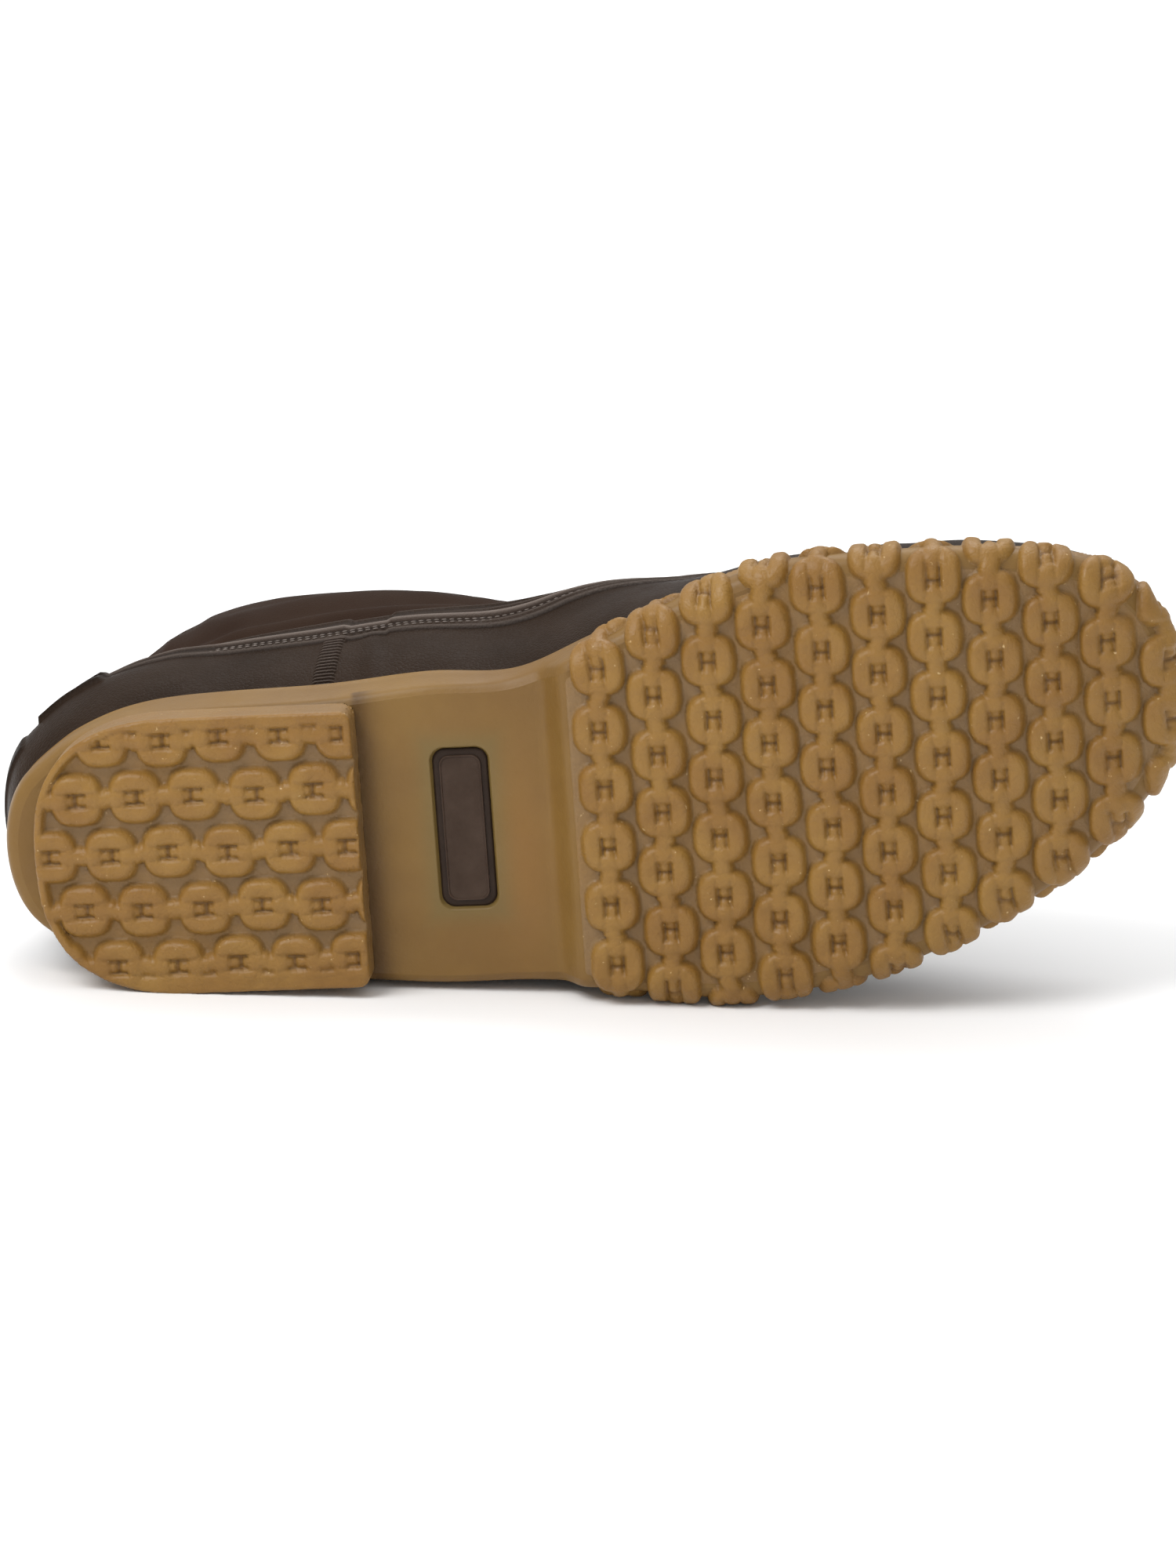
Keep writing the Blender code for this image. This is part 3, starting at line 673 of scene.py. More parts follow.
    def finish(self, colour: object, roughness: object,
               normal: Optional[Socket] = None, **constants: float) -> Material:
        """Join colour, roughness and bump to the surface and set its other constants.

        Args:
            colour: A colour or a socket.
            roughness: A number or a socket.
            normal: Bump, if there is any.
            **constants: Names of the surface's sockets, with _ for a space, and their values.

        Returns:
            The finished material.
        """
        self._colour(self.surface.inputs["Base Color"], colour)
        if isinstance(roughness, float):
            self.surface.inputs["Roughness"].default_value = roughness
        else:
            self.link(roughness, self.surface.inputs["Roughness"])
        if normal is not None:
            self.link(normal, self.surface.inputs["Normal"])
        for label, number in constants.items():
            self.surface.inputs[label.replace("_", " ")].default_value = number
        return self.material


@dataclass(frozen=True)
class GumRubber:
    """Moulded gum rubber: warm tan on the chains, greyer and darker on the ground between."""

    raised: Colour = (0.250, 0.133, 0.027)
    raised_deep: Colour = (0.207, 0.101, 0.019)
    ground: Colour = (0.225, 0.124, 0.037)
    ground_grey: Colour = (0.206, 0.122, 0.048)
    # Painted shade: dark colour laid into the chains' slots and creases
    slot: Colour = (0.145, 0.070, 0.016)
    smooth: Colour = (0.200, 0.110, 0.024)
    smooth_deep: Colour = (0.160, 0.083, 0.018)
    # Painted shade: the heel block's shadow on the arch in front of its breast
    shade: Colour = (0.062, 0.029, 0.007)
    amber: Colour = (0.225, 0.104, 0.022)
    halo: Colour = (0.122, 0.102, 0.036)
    # Painted glints: small light flecks that stand in for highlights on the rings
    glint: Colour = (0.480, 0.330, 0.150)
    gloss: float = 0.30

    def tread(self) -> Material:
        """Finish of the chains, told from the ground between them by the relief.

        Returns:
            The finished material.
        """
        shader = Shader("gum_tread")
        top = shader.mix(shader.patches(55.0, 3.0, 0.38, 0.66), self.raised_deep, self.raised)
        low = shader.mix(shader.patches(40.0, 2.0, 0.40, 0.62), self.ground, self.ground_grey)
        both = shader.mix(shader.span(shader.value("relief"), 0.06, 0.60), low, top)
        # Painted glints scattered over the tread
        glints = shader.patches(900.0, 2.0, 0.735, 0.80, rough=0.4)
        both = shader.mix(glints, both, self.glint)
        # Painted shade in the slots, by the slot value
        both = shader.mix(shader.value("slot"), both, self.slot)
        wrinkles = shader.patches(420.0, 5.0, 0.25, 0.75, rough=0.62)
        normal = shader.bump(wrinkles, 0.00038, 0.55)
        normal = shader.bump(shader.pores(520.0, 0.16), 0.00012, 0.35, normal)
        rough = shader.patches(260.0, 3.0, 0.3, 0.7, 0.36, 0.54)
        return shader.finish(both, rough, normal, Coat_Weight=0.08, Coat_Roughness=0.20,
                             Specular_IOR_Level=self.gloss)

    def plain(self) -> Material:
        """Finish of the arch, the rand and the sides, smooth and faintly mottled.

        Returns:
            The finished material.
        """
        shader = Shader("gum_smooth")
        base = shader.mix(shader.patches(30.0, 4.0, 0.35, 0.68), self.smooth_deep, self.smooth)
        # The shade entry is painted shade; amber and halo are tints of the gum
        for label, stain_and_shade in (("amber", self.amber), ("halo", self.halo), ("shade", self.shade)):
            base = shader.mix(shader.value(label), base, stain_and_shade)
        normal = shader.bump(shader.patches(700.0, 4.0, 0.3, 0.7, rough=0.6), 0.00010, 0.45)
        rough = shader.patches(90.0, 3.0, 0.3, 0.7, 0.40, 0.56)
        return shader.finish(base, rough, normal, Coat_Weight=0.05, Coat_Roughness=0.25,
                             Specular_IOR_Level=self.gloss)


@dataclass(frozen=True)
class BrownRubber:
    """Dark brown rubber with a fine leather-like grain."""

    colour: Colour = (0.020, 0.012, 0.0075)
    worn: Colour = (0.029, 0.018, 0.0120)
    # Painted shade in the shell's grooves, on the badge's sides and moat and between the ribs; also
    # the dark heel patches' own colour
    seam: Colour = (0.010, 0.006, 0.004)
    # Painted highlight along the shell's beads and on the ribs' crests
    gleam: Colour = (0.155, 0.125, 0.108)
    badge: Colour = (0.040, 0.024, 0.016)
    badge_worn: Colour = (0.054, 0.034, 0.024)
    coat_rough: float = 0.25

    def grained(self) -> Material:
        """Finish of the shell.

        Returns:
            The finished material.
        """
        shader = Shader("brown_rubber_grain")
        base = shader.mix(shader.patches(45.0, 4.0, 0.35, 0.70), self.colour, self.worn)
        # Painted shade in the grooves, and the heel patches' own dark colour
        base = shader.mix(shader.value("seam"), base, self.seam)
        # Painted highlight along the beads, by the gleam value
        base = shader.mix(shader.value("gleam"), base, self.gleam)
        folds = shader.patches(240.0, 6.0, 0.3, 0.7, rough=0.65)
        normal = shader.bump(shader.pores(950.0, 0.22), 0.00016, 0.50)
        normal = shader.bump(folds, 0.00022, 0.35, normal)
        rough = shader.patches(120.0, 4.0, 0.3, 0.7, 0.36, 0.50)
        return shader.finish(base, rough, normal, Coat_Weight=0.015,
                             Coat_Roughness=self.coat_rough, Specular_IOR_Level=0.035)

    def plate(self) -> Material:
        """Finish of the badge plate, a little redder and smoother.

        Returns:
            The finished material.
        """
        shader = Shader("brown_badge")
        base = shader.mix(shader.patches(160.0, 3.0, 0.35, 0.70), self.badge, self.badge_worn)
        # Painted shade on the plate's sides and in its moat, by the point value
        base = shader.mix(shader.value("seam"), base, self.seam)
        normal = shader.bump(shader.patches(520.0, 5.0, 0.3, 0.7), 0.00014, 0.5)
        return shader.finish(base, 0.40, normal, Coat_Weight=0.02,
                             Coat_Roughness=self.coat_rough, Specular_IOR_Level=0.10)


@dataclass(frozen=True)
class BrownLeather:
    """Smooth brown full-grain leather, matte, with pores and soft clouds."""

    colour: Colour = (0.024, 0.013, 0.0085)
    cloud: Colour = (0.034, 0.020, 0.0135)
    raw: Colour = (0.070, 0.042, 0.026)

    def smooth(self, name: str = "brown_leather", tint: float = 1.0) -> Material:
        """Finish of the shaft, tongue and backstay.

        Args:
            name: Name of the material.
            tint: Share of the leather's own brightness.

        Returns:
            The finished material.
        """
        shader = Shader(name)
        deep, light = (tuple(value * tint for value in tone) for tone in (self.colour, self.cloud))
        base = shader.mix(shader.patches(24.0, 5.0, 0.32, 0.70), deep, light)
        base = shader.mix(shader.value("raw"), base, self.raw)
        wrinkles = shader.patches(190.0, 6.0, 0.3, 0.7, rough=0.6)
        normal = shader.bump(shader.pores(1300.0, 0.25), 0.00010, 0.40)
        normal = shader.bump(wrinkles, 0.00020, 0.25, normal)
        rough = shader.patches(70.0, 4.0, 0.3, 0.7, 0.50, 0.64)
        return shader.finish(base, rough, normal, Specular_IOR_Level=0.02)


@dataclass(frozen=True)
class Trim:
    """Finishes of thread, lace, brass, felt and the fuzzy cut edge."""

    # The thread's own colour, lightened as a painted highlight so that the stitches show as small
    # glints
    thread_colour: Colour = (0.105, 0.080, 0.065)
    fuzz_colours: Tuple[Colour, Colour] = ((0.012, 0.010, 0.009), (0.040, 0.034, 0.030))
    lace_colours: Tuple[Colour, Colour] = ((0.150, 0.078, 0.038), (0.205, 0.112, 0.056))
    brass_colours: Tuple[Colour, Colour] = ((0.58, 0.41, 0.17), (0.36, 0.23, 0.09))
    felt_colours: Tuple[Colour, Colour] = ((0.300, 0.235, 0.165), (0.390, 0.315, 0.230))

    def thread(self) -> Material:
        """Waxed brown thread.

        Returns:
            The finished material.
        """
        shader = Shader("waxed_thread")
        twist = shader.patches(2600.0, 2.0, 0.3, 0.7)
        return shader.finish(self.thread_colour, 0.45, shader.bump(twist, 0.00008, 0.6))

    def fuzz(self) -> Material:
        """Black frayed cloth at the shell's cut edge.

        Returns:
            The finished material.
        """
        shader = Shader("frayed_edge")
        fibre = shader.patches(1800.0, 5.0, 0.25, 0.75, rough=0.7)
        base = shader.mix(fibre, *self.fuzz_colours)
        return shader.finish(base, 0.92, shader.bump(fibre, 0.0004, 0.9))

    def lace(self) -> Material:
        """Rawhide lace, waxed and a little uneven.

        Returns:
            The finished material.
        """
        shader = Shader("rawhide_lace")
        base = shader.mix(shader.patches(150.0, 4.0, 0.3, 0.7), *self.lace_colours)
        skin = shader.patches(900.0, 4.0, 0.3, 0.7)
        return shader.finish(base, 0.48, shader.bump(skin, 0.00012, 0.5), Coat_Weight=0.1)

    def brass(self) -> Material:
        """Aged brass.

        Returns:
            The finished material.
        """
        shader = Shader("aged_brass")
        base = shader.mix(shader.patches(300.0, 4.0, 0.35, 0.7), *self.brass_colours)
        rough = shader.patches(500.0, 3.0, 0.3, 0.7, 0.24, 0.42)
        return shader.finish(base, rough, Metallic=1.0)

    def felt(self) -> Material:
        """Felted lining of the insole.

        Returns:
            The finished material.
        """
        shader = Shader("felt_lining")
        fibre = shader.patches(1400.0, 6.0, 0.3, 0.7, rough=0.7)
        base = shader.mix(fibre, *self.felt_colours)
        return shader.finish(base, 0.95, shader.bump(fibre, 0.0004, 0.7), Sheen_Weight=0.2)


@dataclass(frozen=True)
class Chain:
    """Relief of one moulded chain: flat rings in line, with edge-on links entering both ends."""

    pitch: float = 0.0136
    ring_length: float = 0.0124
    ring_width: float = 0.0126
    slot: float = 0.0031
    slot_length_share: float = 0.62
    slot_round: float = 0.0009
    link_half: float = 0.00158
    neck_half: float = 0.0026
    neck_start_share: float = 0.8
    neck_run_share: float = 0.75
    link_gap: float = 0.00030
    link_fullness: float = 2.4
    link_top: float = 0.97
    link_sink: float = 0.16
    sink_run: float = 0.0016
    tip_round: float = 0.0009
    tip_floor: float = 0.62
    squareness: float = 2.8
    edge_round: float = 0.0017
    crown: float = 0.17
    blend: float = 0.0006
    groove: float = 0.00042
    groove_half: float = 0.00032
    tread_depth: float = 0.0030

    def ring(self, u: Array, v: Array) -> Array:
        """Height of the flat ring round its slot.

        Args:
            u: Distance from the ring's middle along the chain.
            v: Distance from the chain's centre line.

        Returns:
            Heights from 0 to 1.
        """
        half_u, half_v = self.ring_length / 2, self.ring_width / 2
        reach = ((u / half_u) ** self.squareness
                 + (v / half_v) ** self.squareness) ** (1 / self.squareness)
        inside = (1 - reach) * half_v
        past_slot = np.maximum(u - self.slot * self.slot_length_share, v - self.slot / 2)
        middle = (half_v - self.slot / 2) / 2
        crown = 1 - self.crown * (np.clip(inside / middle, 0, 2) - 1) ** 2
        return (quarter_round(inside / self.edge_round)
                * quarter_round((past_slot + 0.0002) / self.slot_round) * crown)

    def link(self, u: Array, v: Array, half: Array, apart: Array) -> Array:
        """Height of the edge-on links.

        Args:
            u: Distance from the ring's middle along the chain.
            v: Distance from the chain's centre line.
            half: Half of the link's width at each place.
            apart: Distance along the chain from the place where the two links meet.

        Returns:
            Heights from 0 to 1.
        """
        profile = np.sqrt(np.clip(1 - (v / half) ** self.link_fullness, 0, 1))
        tip = quarter_round((apart - self.link_gap) / self.tip_round)
        tip = self.tip_floor + (1 - self.tip_floor) * tip
        sink = self.link_sink * (1 - ease((u - self.slot * 0.5) / self.sink_run))
        return profile * tip * (self.link_top - sink)

    def height(self, along: Array, across: Array, shift: Array) -> Tuple[Array, Array]:
        """Height of the relief at places in one cell of the chain.

        Args:
            along: Distance from the ring's middle along the chain, within half a pitch.
            across: Distance from the chain's centre line.
            shift: Distance from the ring's middle at which the two links meet.

        Returns:
            Heights from 0 on the ground to 1 on top, and the strength of the painted shade in the
            slots at each place.
        """
        u, v, apart = np.abs(along), np.abs(across), np.abs(along - shift)
        half_u, slot = self.ring_length / 2, self.slot
        neck = ease((u - slot * self.neck_start_share) / (half_u * self.neck_run_share))
        half = self.link_half + (self.neck_half - self.link_half) * neck
        height = smooth_max(self.ring(u, v), self.link(u, v, half, apart),
                            self.blend / self.tread_depth)
        over_end = ease((u - slot * 0.45) / 0.0006) * (1 - ease((u - half_u * 0.62) / 0.0016))
        groove = hump(v - half * 1.02, self.groove_half) * over_end * self.groove / self.tread_depth
        height = np.clip(height - groove, 0, None)
        # Painted shade mask: strongest in the crease where the two links meet, weaker beside the
        # links
        beside_links = hump(v - slot * 0.52, 0.00030) * (1 - ease((u - 0.0010) / 0.0008))
        down = 0.9 * hump(apart, 0.00034) * (v < slot * 0.55) + 0.45 * beside_links
        return height, np.clip(down, 0, 1)


class Plan:
    """Closed plan of a block, which tells how far points lie outside it and where they face."""

    STEP = 0.00015

    def __init__(self, outline: Array) -> None:
        """Set the plan out in short even steps.

        Args:
            outline: Rows of x and y round the plan, in either direction.
        """
        closed = np.concatenate([outline, outline[:1]])
        run = np.concatenate([[0], np.cumsum(np.linalg.norm(np.diff(closed, axis=0), axis=1))])
        marks = np.linspace(0, run[-1], int(run[-1] / self.STEP) + 1)[:-1]
        self.points = np.stack([np.interp(marks, run, closed[:, k]) for k in (0, 1)], axis=-1)
        ahead = np.roll(self.points, -3, axis=0) - np.roll(self.points, 3, axis=0)
        area = np.sum(closed[:-1, 0] * closed[1:, 1] - closed[1:, 0] * closed[:-1, 1])
        normals = np.stack([ahead[:, 1], -ahead[:, 0]], axis=-1) * math.copysign(1, area)
        self.normals = normals / np.linalg.norm(normals, axis=1, keepdims=True)
        self.tree = kdtree.KDTree(len(self.points))
        for i, (x, y) in enumerate(self.points):
            self.tree.insert((x, y, 0), i)
        self.tree.balance()

    def measure(self, flat: Array) -> Tuple[Array, Array, Array]:
        """Find the nearest edge of the plan.

        Args:
            flat: Rows of x and y.

        Returns:
            Distance outside the edge, the nearest point on it and the way it faces.
        """
        index = np.array([self.tree.find((x, y, 0))[1] for x, y in flat])
        facing = self.normals[index]
        along = np.stack([-facing[:, 1], facing[:, 0]], axis=-1)
        slide = np.sum((flat - self.points[index]) * along, axis=1, keepdims=True)
        foot = self.points[index] + along * np.clip(slide, -2 * self.STEP, 2 * self.STEP)
        offset = flat - self.points[index]
        return np.sum(offset * facing, axis=1), foot, facing


@dataclass
class Outsole:
    """Gum sole: smooth arch and rand, D-shaped heel block and forefoot, both under chains."""

    last: Last
    walls: Walls
    resting: RestingFrame
    gum: GumRubber
    sole_edge: float = 0.0035
    lip: float = 0.0022
    lip_rings: float = 0.22
    around: int = 720
    cell: float = 0.00043
    column_first: float = 0.0074
    column_spacing: float = 0.0126
    column_phase: float = 0.0118
    column_shift: float = 0.0075
    row_spacing: float = 0.0132
    row_centre: float = 0.0008
    row_start: float = 0.0036
    pocket_size: Tuple[float, float] = (0.0138, 0.0382)
    pocket_corner: float = 0.0034
    pocket_depth: float = 0.0013
    pocket_wall: float = 0.0006
    pocket_margin: float = 0.0014
    heel_back: float = 0.009
    heel_breast_share: float = 0.3104
    heel_width: float = 0.0644
    heel_round: float = 0.036
    heel_fullness: float = 2.6
    heel_corner: float = 0.0026
    heel_side_reach: float = 0.0062
    heel_side_slope: float = 1.35
    edge_inset: float = 0.0014
    edge_round: float = 0.0040
    edge_lean: float = 0.10
    wrap: float = 0.0120
    side_reach: float = 0.0105
    breast_slope: float = 1.6
    sway: float = 0.00028
    slip: float = 0.00022
    meeting: float = 0.00060
    roughness: float = 0.00026
    rough_scale: float = 0.0031
    plate_limit: float = 0.012
    chain: Chain = field(default_factory=Chain)
    wear: Unevenness = field(default_factory=lambda: Unevenness(11))

    # Lip inside the shell's foot: share of lip_rings, and share of the lip's thickness
    LIP = ((0.2, 1.15), (0.8, 1.0), (1.0, 0.7), (1.0, 0.0))
    # Smooth steps between the sections, from the under face's edge to inside the shell
    STEPS = (5, 6, 9, 9, 4, 2)

    @property
    def heel_breast(self) -> float:
        """Place along the boot of the heel block's straight front."""
        return self.heel_breast_share * self.last.length

    def sections(self) -> Array:
        """Rings round the sole from the under face's edge, over the lip, to inside the shell.

        Returns:
            Rings of points, from the under face up.
        """
        last = self.last
        turns = np.linspace(0, 2 * math.pi, self.around, endpoint=False)
        rings = []
        for inset, rise in ((self.sole_edge, 0.0), (self.sole_edge * 0.3, self.sole_edge * 0.35)):
            flat = last.outline(turns, inset)
            rings.append(np.column_stack([flat, last.under_height(flat[:, 0]) + rise]))
        flat = last.outline(turns)
        middle = (last.under_height(flat[:, 0]) + last.seat_height(flat[:, 0])) / 2
        rings.append(np.column_stack([flat, middle]))
        for share, thick in self.LIP:
            offset = self.walls.gap + self.lip * thick
            rings.append(last.offset_point(turns, self.lip_rings * share, offset))
        return np.stack(rings)

    @staticmethod
    def rounded(sections: Array, steps: Sequence[int]) -> Array:
        """Run smooth curves through sections.

        Args:
            sections: Rows of points, one row for each section.
            steps: Number of steps from each section to the next.

        Returns:
            All the rows, the sections' own among them.
        """
        count = len(sections)
        rows = [sections[0]]
        for i, number in enumerate(steps):
            before, after = sections[max(i - 1, 0)], sections[min(i + 2, count - 1)]
            here, there = sections[i], sections[i + 1]
            for t in np.linspace(0, 1, number + 1)[1:]:
                rows.append(0.5 * (2 * here + (there - before) * t
                                   + (2 * before - 5 * here + 4 * there - after) * t**2
                                   + (3 * here - before - 3 * there + after) * t**3))
        return np.stack(rows)

    def body(self) -> Piece:
        """Make the smooth arch, rand and lip in one sheet over the whole sole.

        Returns:
            The piece, laid on the floor.
        """
        rows = self.rounded(self.sections(), self.STEPS)
        half = self.around // 2
        inner, outer = rows[0][half::-1], np.concatenate([rows[0][half:], rows[0][:1]])
        mesh = Mesh()
        mesh.add_grid(rows[::-1], wrap=True, **self.tints(rows[::-1]))
        knots = inner[:, 0]
        reach = self.pocket_size[0] / 2 + self.pocket_margin
        low, high = (self.last.badge_centre[0] + side * reach for side in (-1, 1))
        coarse, fine = np.linspace(0, 1, 25), np.linspace(0, 1, 321)
        strips = ((np.append(knots[knots < low], low), coarse),
                  (np.linspace(low, high, 90), fine),
                  (np.append(high, knots[knots > high]), coarse))
        for xs, shares in strips:
            near, far = (np.interp(xs, knots, side[:, 1]) for side in (inner, outer))
            y = near + (far - near) * shares[:, None]
            x = np.broadcast_to(xs, y.shape)
            z = self.last.under_height(x) + self.pocket(x, y)
            grid = np.stack([x, y, z], axis=-1)[:, ::-1]
            mesh.add_grid(grid, **self.tints(grid))
        return mesh.build("gum_body", self.resting, self.gum.plain())

    def pocket(self, x: Array, y: Array) -> Array:
        """Depth of the badge's pocket at places on the under face.

        Args:
            x: Places along the boot.
            y: Places across it.

        Returns:
            The depth at each place.
        """
        across = np.stack([np.abs(place - middle) - size / 2 for place, middle, size
                           in zip((x, y), self.last.badge_centre, self.pocket_size)])
        across += self.pocket_corner
        reach = np.linalg.norm(np.maximum(across, 0), axis=0) - self.pocket_corner
        return self.pocket_depth * ease(-reach / self.pocket_wall)

    def tints(self, points: Array) -> Dict[str, Array]:
        """Amber tint by the forefoot, green halo round the badge and painted shade on the arch at
        the foot of the heel's breast.

        Args:
            points: Points of the smooth gum.

        Returns:
            Strength of each stain at each point, by its name.
        """
        x, y = points[..., 0], points[..., 1]
        underneath = points[..., 2] < self.plate_limit
        amber = hump(x - 0.119, 0.0065) * hump(y - 0.006, 0.022) * 0.45
        reach = np.maximum(np.abs(x - 0.106) - 0.0063, np.abs(y + 0.0018) - 0.0185)
        halo = hump(np.maximum(reach, 0), 0.0035) * underneath * 0.45
        past = x - self.heel_breast
        # Painted shadow of the heel block on the arch, fading forward of its breast
        shade = hump(np.maximum(past, 0), 0.0034) * ease(past / 0.0012 + 1) * underneath * 0.75
        return {"amber": amber, "halo": halo, "shade": shade}

    def heel_plan(self) -> Array:
        """Plan of the heel block, square at the breast and round at the back.

        Returns:
            Rows of x and y round the block.
        """
        half = self.heel_width / 2
        start = self.heel_back + self.heel_round
        angles = np.linspace(0, math.pi / 2, 60)
        power = 2 / self.heel_fullness
        back = [(start - self.heel_round * abs(math.cos(a)) ** power, half * math.sin(a) ** power)
                for a in angles]
        corner = self.heel_corner
        front = [(self.heel_breast - corner + corner * math.sin(a),
                  half - corner + corner * math.cos(a)) for a in angles[::6]]
        upper = back + front
        return np.array(upper + [(x, -y) for x, y in reversed(upper) if y > 1e-6])

    def lattice(self, u: Array, v: Array, spacing: float, first: float,
                phases: Sequence[float]) -> Tuple[Array, Array]:
        """Relief of parallel chains.

        Args:
            u: Distance along the chains.
            v: Distance across them.
            spacing: Distance between chains.
            first: Place of the first chain's centre line, across.
            phases: Place along each chain of one of its rings, in order.

        Returns:
            Heights and the painted slot shade, as Chain.height gives them.
        """
        row = np.clip(np.round((v - first) / spacing), 0, len(phases) - 1).astype(int)
        phase = np.asarray(phases)[row]
        pitch = self.chain.pitch
        cell = np.round((u - phase) / pitch)
        sway = self.sway * np.sin(cell * 2.4 + row * 1.7)
        along = u - phase - cell * pitch + self.slip * np.cos(cell * 1.9 + row)
        shift = self.meeting * np.cos(cell * 2.7 + row * 1.3)
        return self.chain.height(along, v - first - row * spacing + sway, shift)

    def wrapped(self, plan: Plan, flat: Array, relief: Array) -> Array:
        """Wrap the forefoot's flat tread over its rounded edge and up the side.

        Args:
            plan: Outline of the forefoot.
            flat: Rows of x and y of the tread laid flat.
            relief: Height of the tread at each row, in metres.

        Returns:
            Points of the wrapped tread.
        """
        edge_round = self.edge_round
        outside, foot, facing = plan.measure(flat)
        turn = np.clip((outside + edge_round) / edge_round, 0, math.pi / 2)
        bent = outside > -edge_round
        past = np.maximum(outside + edge_round - edge_round * math.pi / 2, 0)
        inset = edge_round * (1 - np.sin(turn)) - self.edge_lean * past
        base = np.where(bent[:, None], foot - facing * inset[:, None], flat)
        z = self.last.under_height(base[:, 0]) + edge_round * (1 - np.cos(turn)) + past
        out = np.sin(turn) * relief
        return np.column_stack([base + facing * np.where(bent, out, 0)[:, None],
                                z - np.cos(turn) * relief])

    @staticmethod
    def laid_flat(xs: Array, ys: Array) -> Tuple[Array, Tuple[int, int]]:
        """Rows of x and y of a grid, and the grid's shape."""
        grid = np.stack(np.meshgrid(xs, ys, indexing="ij"), axis=-1)
        return grid.reshape(-1, 2), grid.shape[:2]

    def forefoot(self) -> Piece:
        """Make the forefoot's tread, columns of chain across the foot, wrapped over the edge.

        Returns:
            The piece, laid on the floor.
        """
        last = self.last
        turns = np.linspace(0, 2 * math.pi, 2400, endpoint=False)
        plan = Plan(last.outline(turns, self.edge_inset))
        start = last.forepart
        xs = np.arange(start - 8 * self.cell, last.length + self.wrap, self.cell)
        ys = np.arange(-last.ball_width * 0.68, last.ball_width * 0.62, self.cell)
        flat, shape = self.laid_flat(xs, ys)
        first = start + self.column_first
        count = int((last.length + self.wrap - first) / self.column_spacing) + 2
        phases = [-(self.column_phase + i * self.column_shift) % self.chain.pitch
                  for i in range(count)]
        height, slot = self.lattice(flat[:, 1], flat[:, 0], self.column_spacing, first, phases)
        beside = ease((flat[:, 0] - start) / 0.0006)
        height, slot = height * beside, slot * beside
        clamped = np.column_stack([np.maximum(flat[:, 0], start), flat[:, 1]])
        outside = plan.measure(clamped)[0]
        fade = 1 - ease((outside - 0.0035) / 0.0035)
        rough = self.wear.read(flat[:, 0], flat[:, 1], self.rough_scale) * self.roughness
        relief = height * fade * (last.tread_depth + 0.0001) + rough * height
        points = self.wrapped(plan, clamped, relief)
        points[:, 2] += np.maximum(start - flat[:, 0], 0) * self.breast_slope
        return self.trimmed("gum_forefoot", shape, points, outside < self.side_reach,
                            relief=np.clip(relief / last.tread_depth, 0, 1), slot=slot * fade)

    def heel(self) -> Piece:
        """Make the heel block, rows of chain along the foot, flush with its edge.

        Returns:
            The piece, laid on the floor.
        """
        plan = Plan(self.heel_plan())
        depth, margin = self.last.tread_depth, 0.008
        half = self.heel_width / 2 + margin
        xs = np.arange(self.heel_back - margin, self.heel_breast + margin, self.cell)
        flat, shape = self.laid_flat(xs, np.arange(-half, half, self.cell))
        rows = range(-2, 3)
        phases = [self.heel_back + self.row_start - (row % 2) * self.chain.pitch / 2
                  for row in rows]
        first = -self.row_centre + rows[0] * self.row_spacing
        height, slot = self.lattice(flat[:, 0], flat[:, 1], self.row_spacing, first, phases)
        outside, foot, _ = plan.measure(flat)
        over = np.abs(flat[:, 1] + self.row_centre) - 2 * self.row_spacing
        round_back = 1 - ease((flat[:, 0] - 0.030) / 0.02)
        at_edge = 0.92 * ease((outside + 0.0026) / 0.0012)
        flush = np.maximum(ease((over - 0.0006) / 0.0024),
                           at_edge * np.maximum(round_back, ease((over + 0.0045) / 0.002)))
        height = np.maximum(height, flush * 0.97)
        slot = slot * (1 - flush)
        rough = self.wear.read(flat[:, 0] + 0.3, flat[:, 1], self.rough_scale) * self.roughness
        relief = height * (depth - 0.0001) + rough * height
        z = depth - relief + 0.0004 * ease((outside + 0.0007) / 0.0007)
        z = z + np.maximum(outside, 0) * self.heel_side_slope
        points = np.column_stack([np.where((outside > 0)[:, None], foot, flat), z])
        raised = np.clip(relief / depth, 0, 1) * (1 - 0.75 * (outside > 0.0002))
        return self.trimmed("gum_heel", shape, points, outside < self.heel_side_reach,
                            relief=raised, slot=slot)

    def trimmed(self, name: str, shape: Tuple[int, int], points: Array, keep: Array,
                **values: Array) -> Piece:
        """Make a piece from the quads of a grid whose corners are all kept.

        Args:
            name: Name of the piece.
            shape: Rows and columns of the grid.
            points: Points of the grid.
            keep: Whether each point is kept.
            **values: Point values, one for each point of the grid.

        Returns:
            The piece, in the finish of the tread.
        """
        index = np.arange(len(points)).reshape(shape)
        corners = (index[:-1, :-1], index[:-1, 1:], index[1:, 1:], index[1:, :-1])
        quads = np.stack(corners, axis=-1).reshape(-1, 4)
        quads = quads[keep[quads].all(axis=1)]
        used, faces = np.unique(quads, return_inverse=True)
        mesh = Mesh()
        mesh.add(points[used], faces.reshape(-1, 4),
                 **{label: value[used] for label, value in values.items()})
        return mesh.build(name, self.resting, self.gum.tread(), 180.0)

    def make(self) -> List[Piece]:
        """Make every piece of the sole."""
        return [self.body(), self.heel(), self.forefoot()]


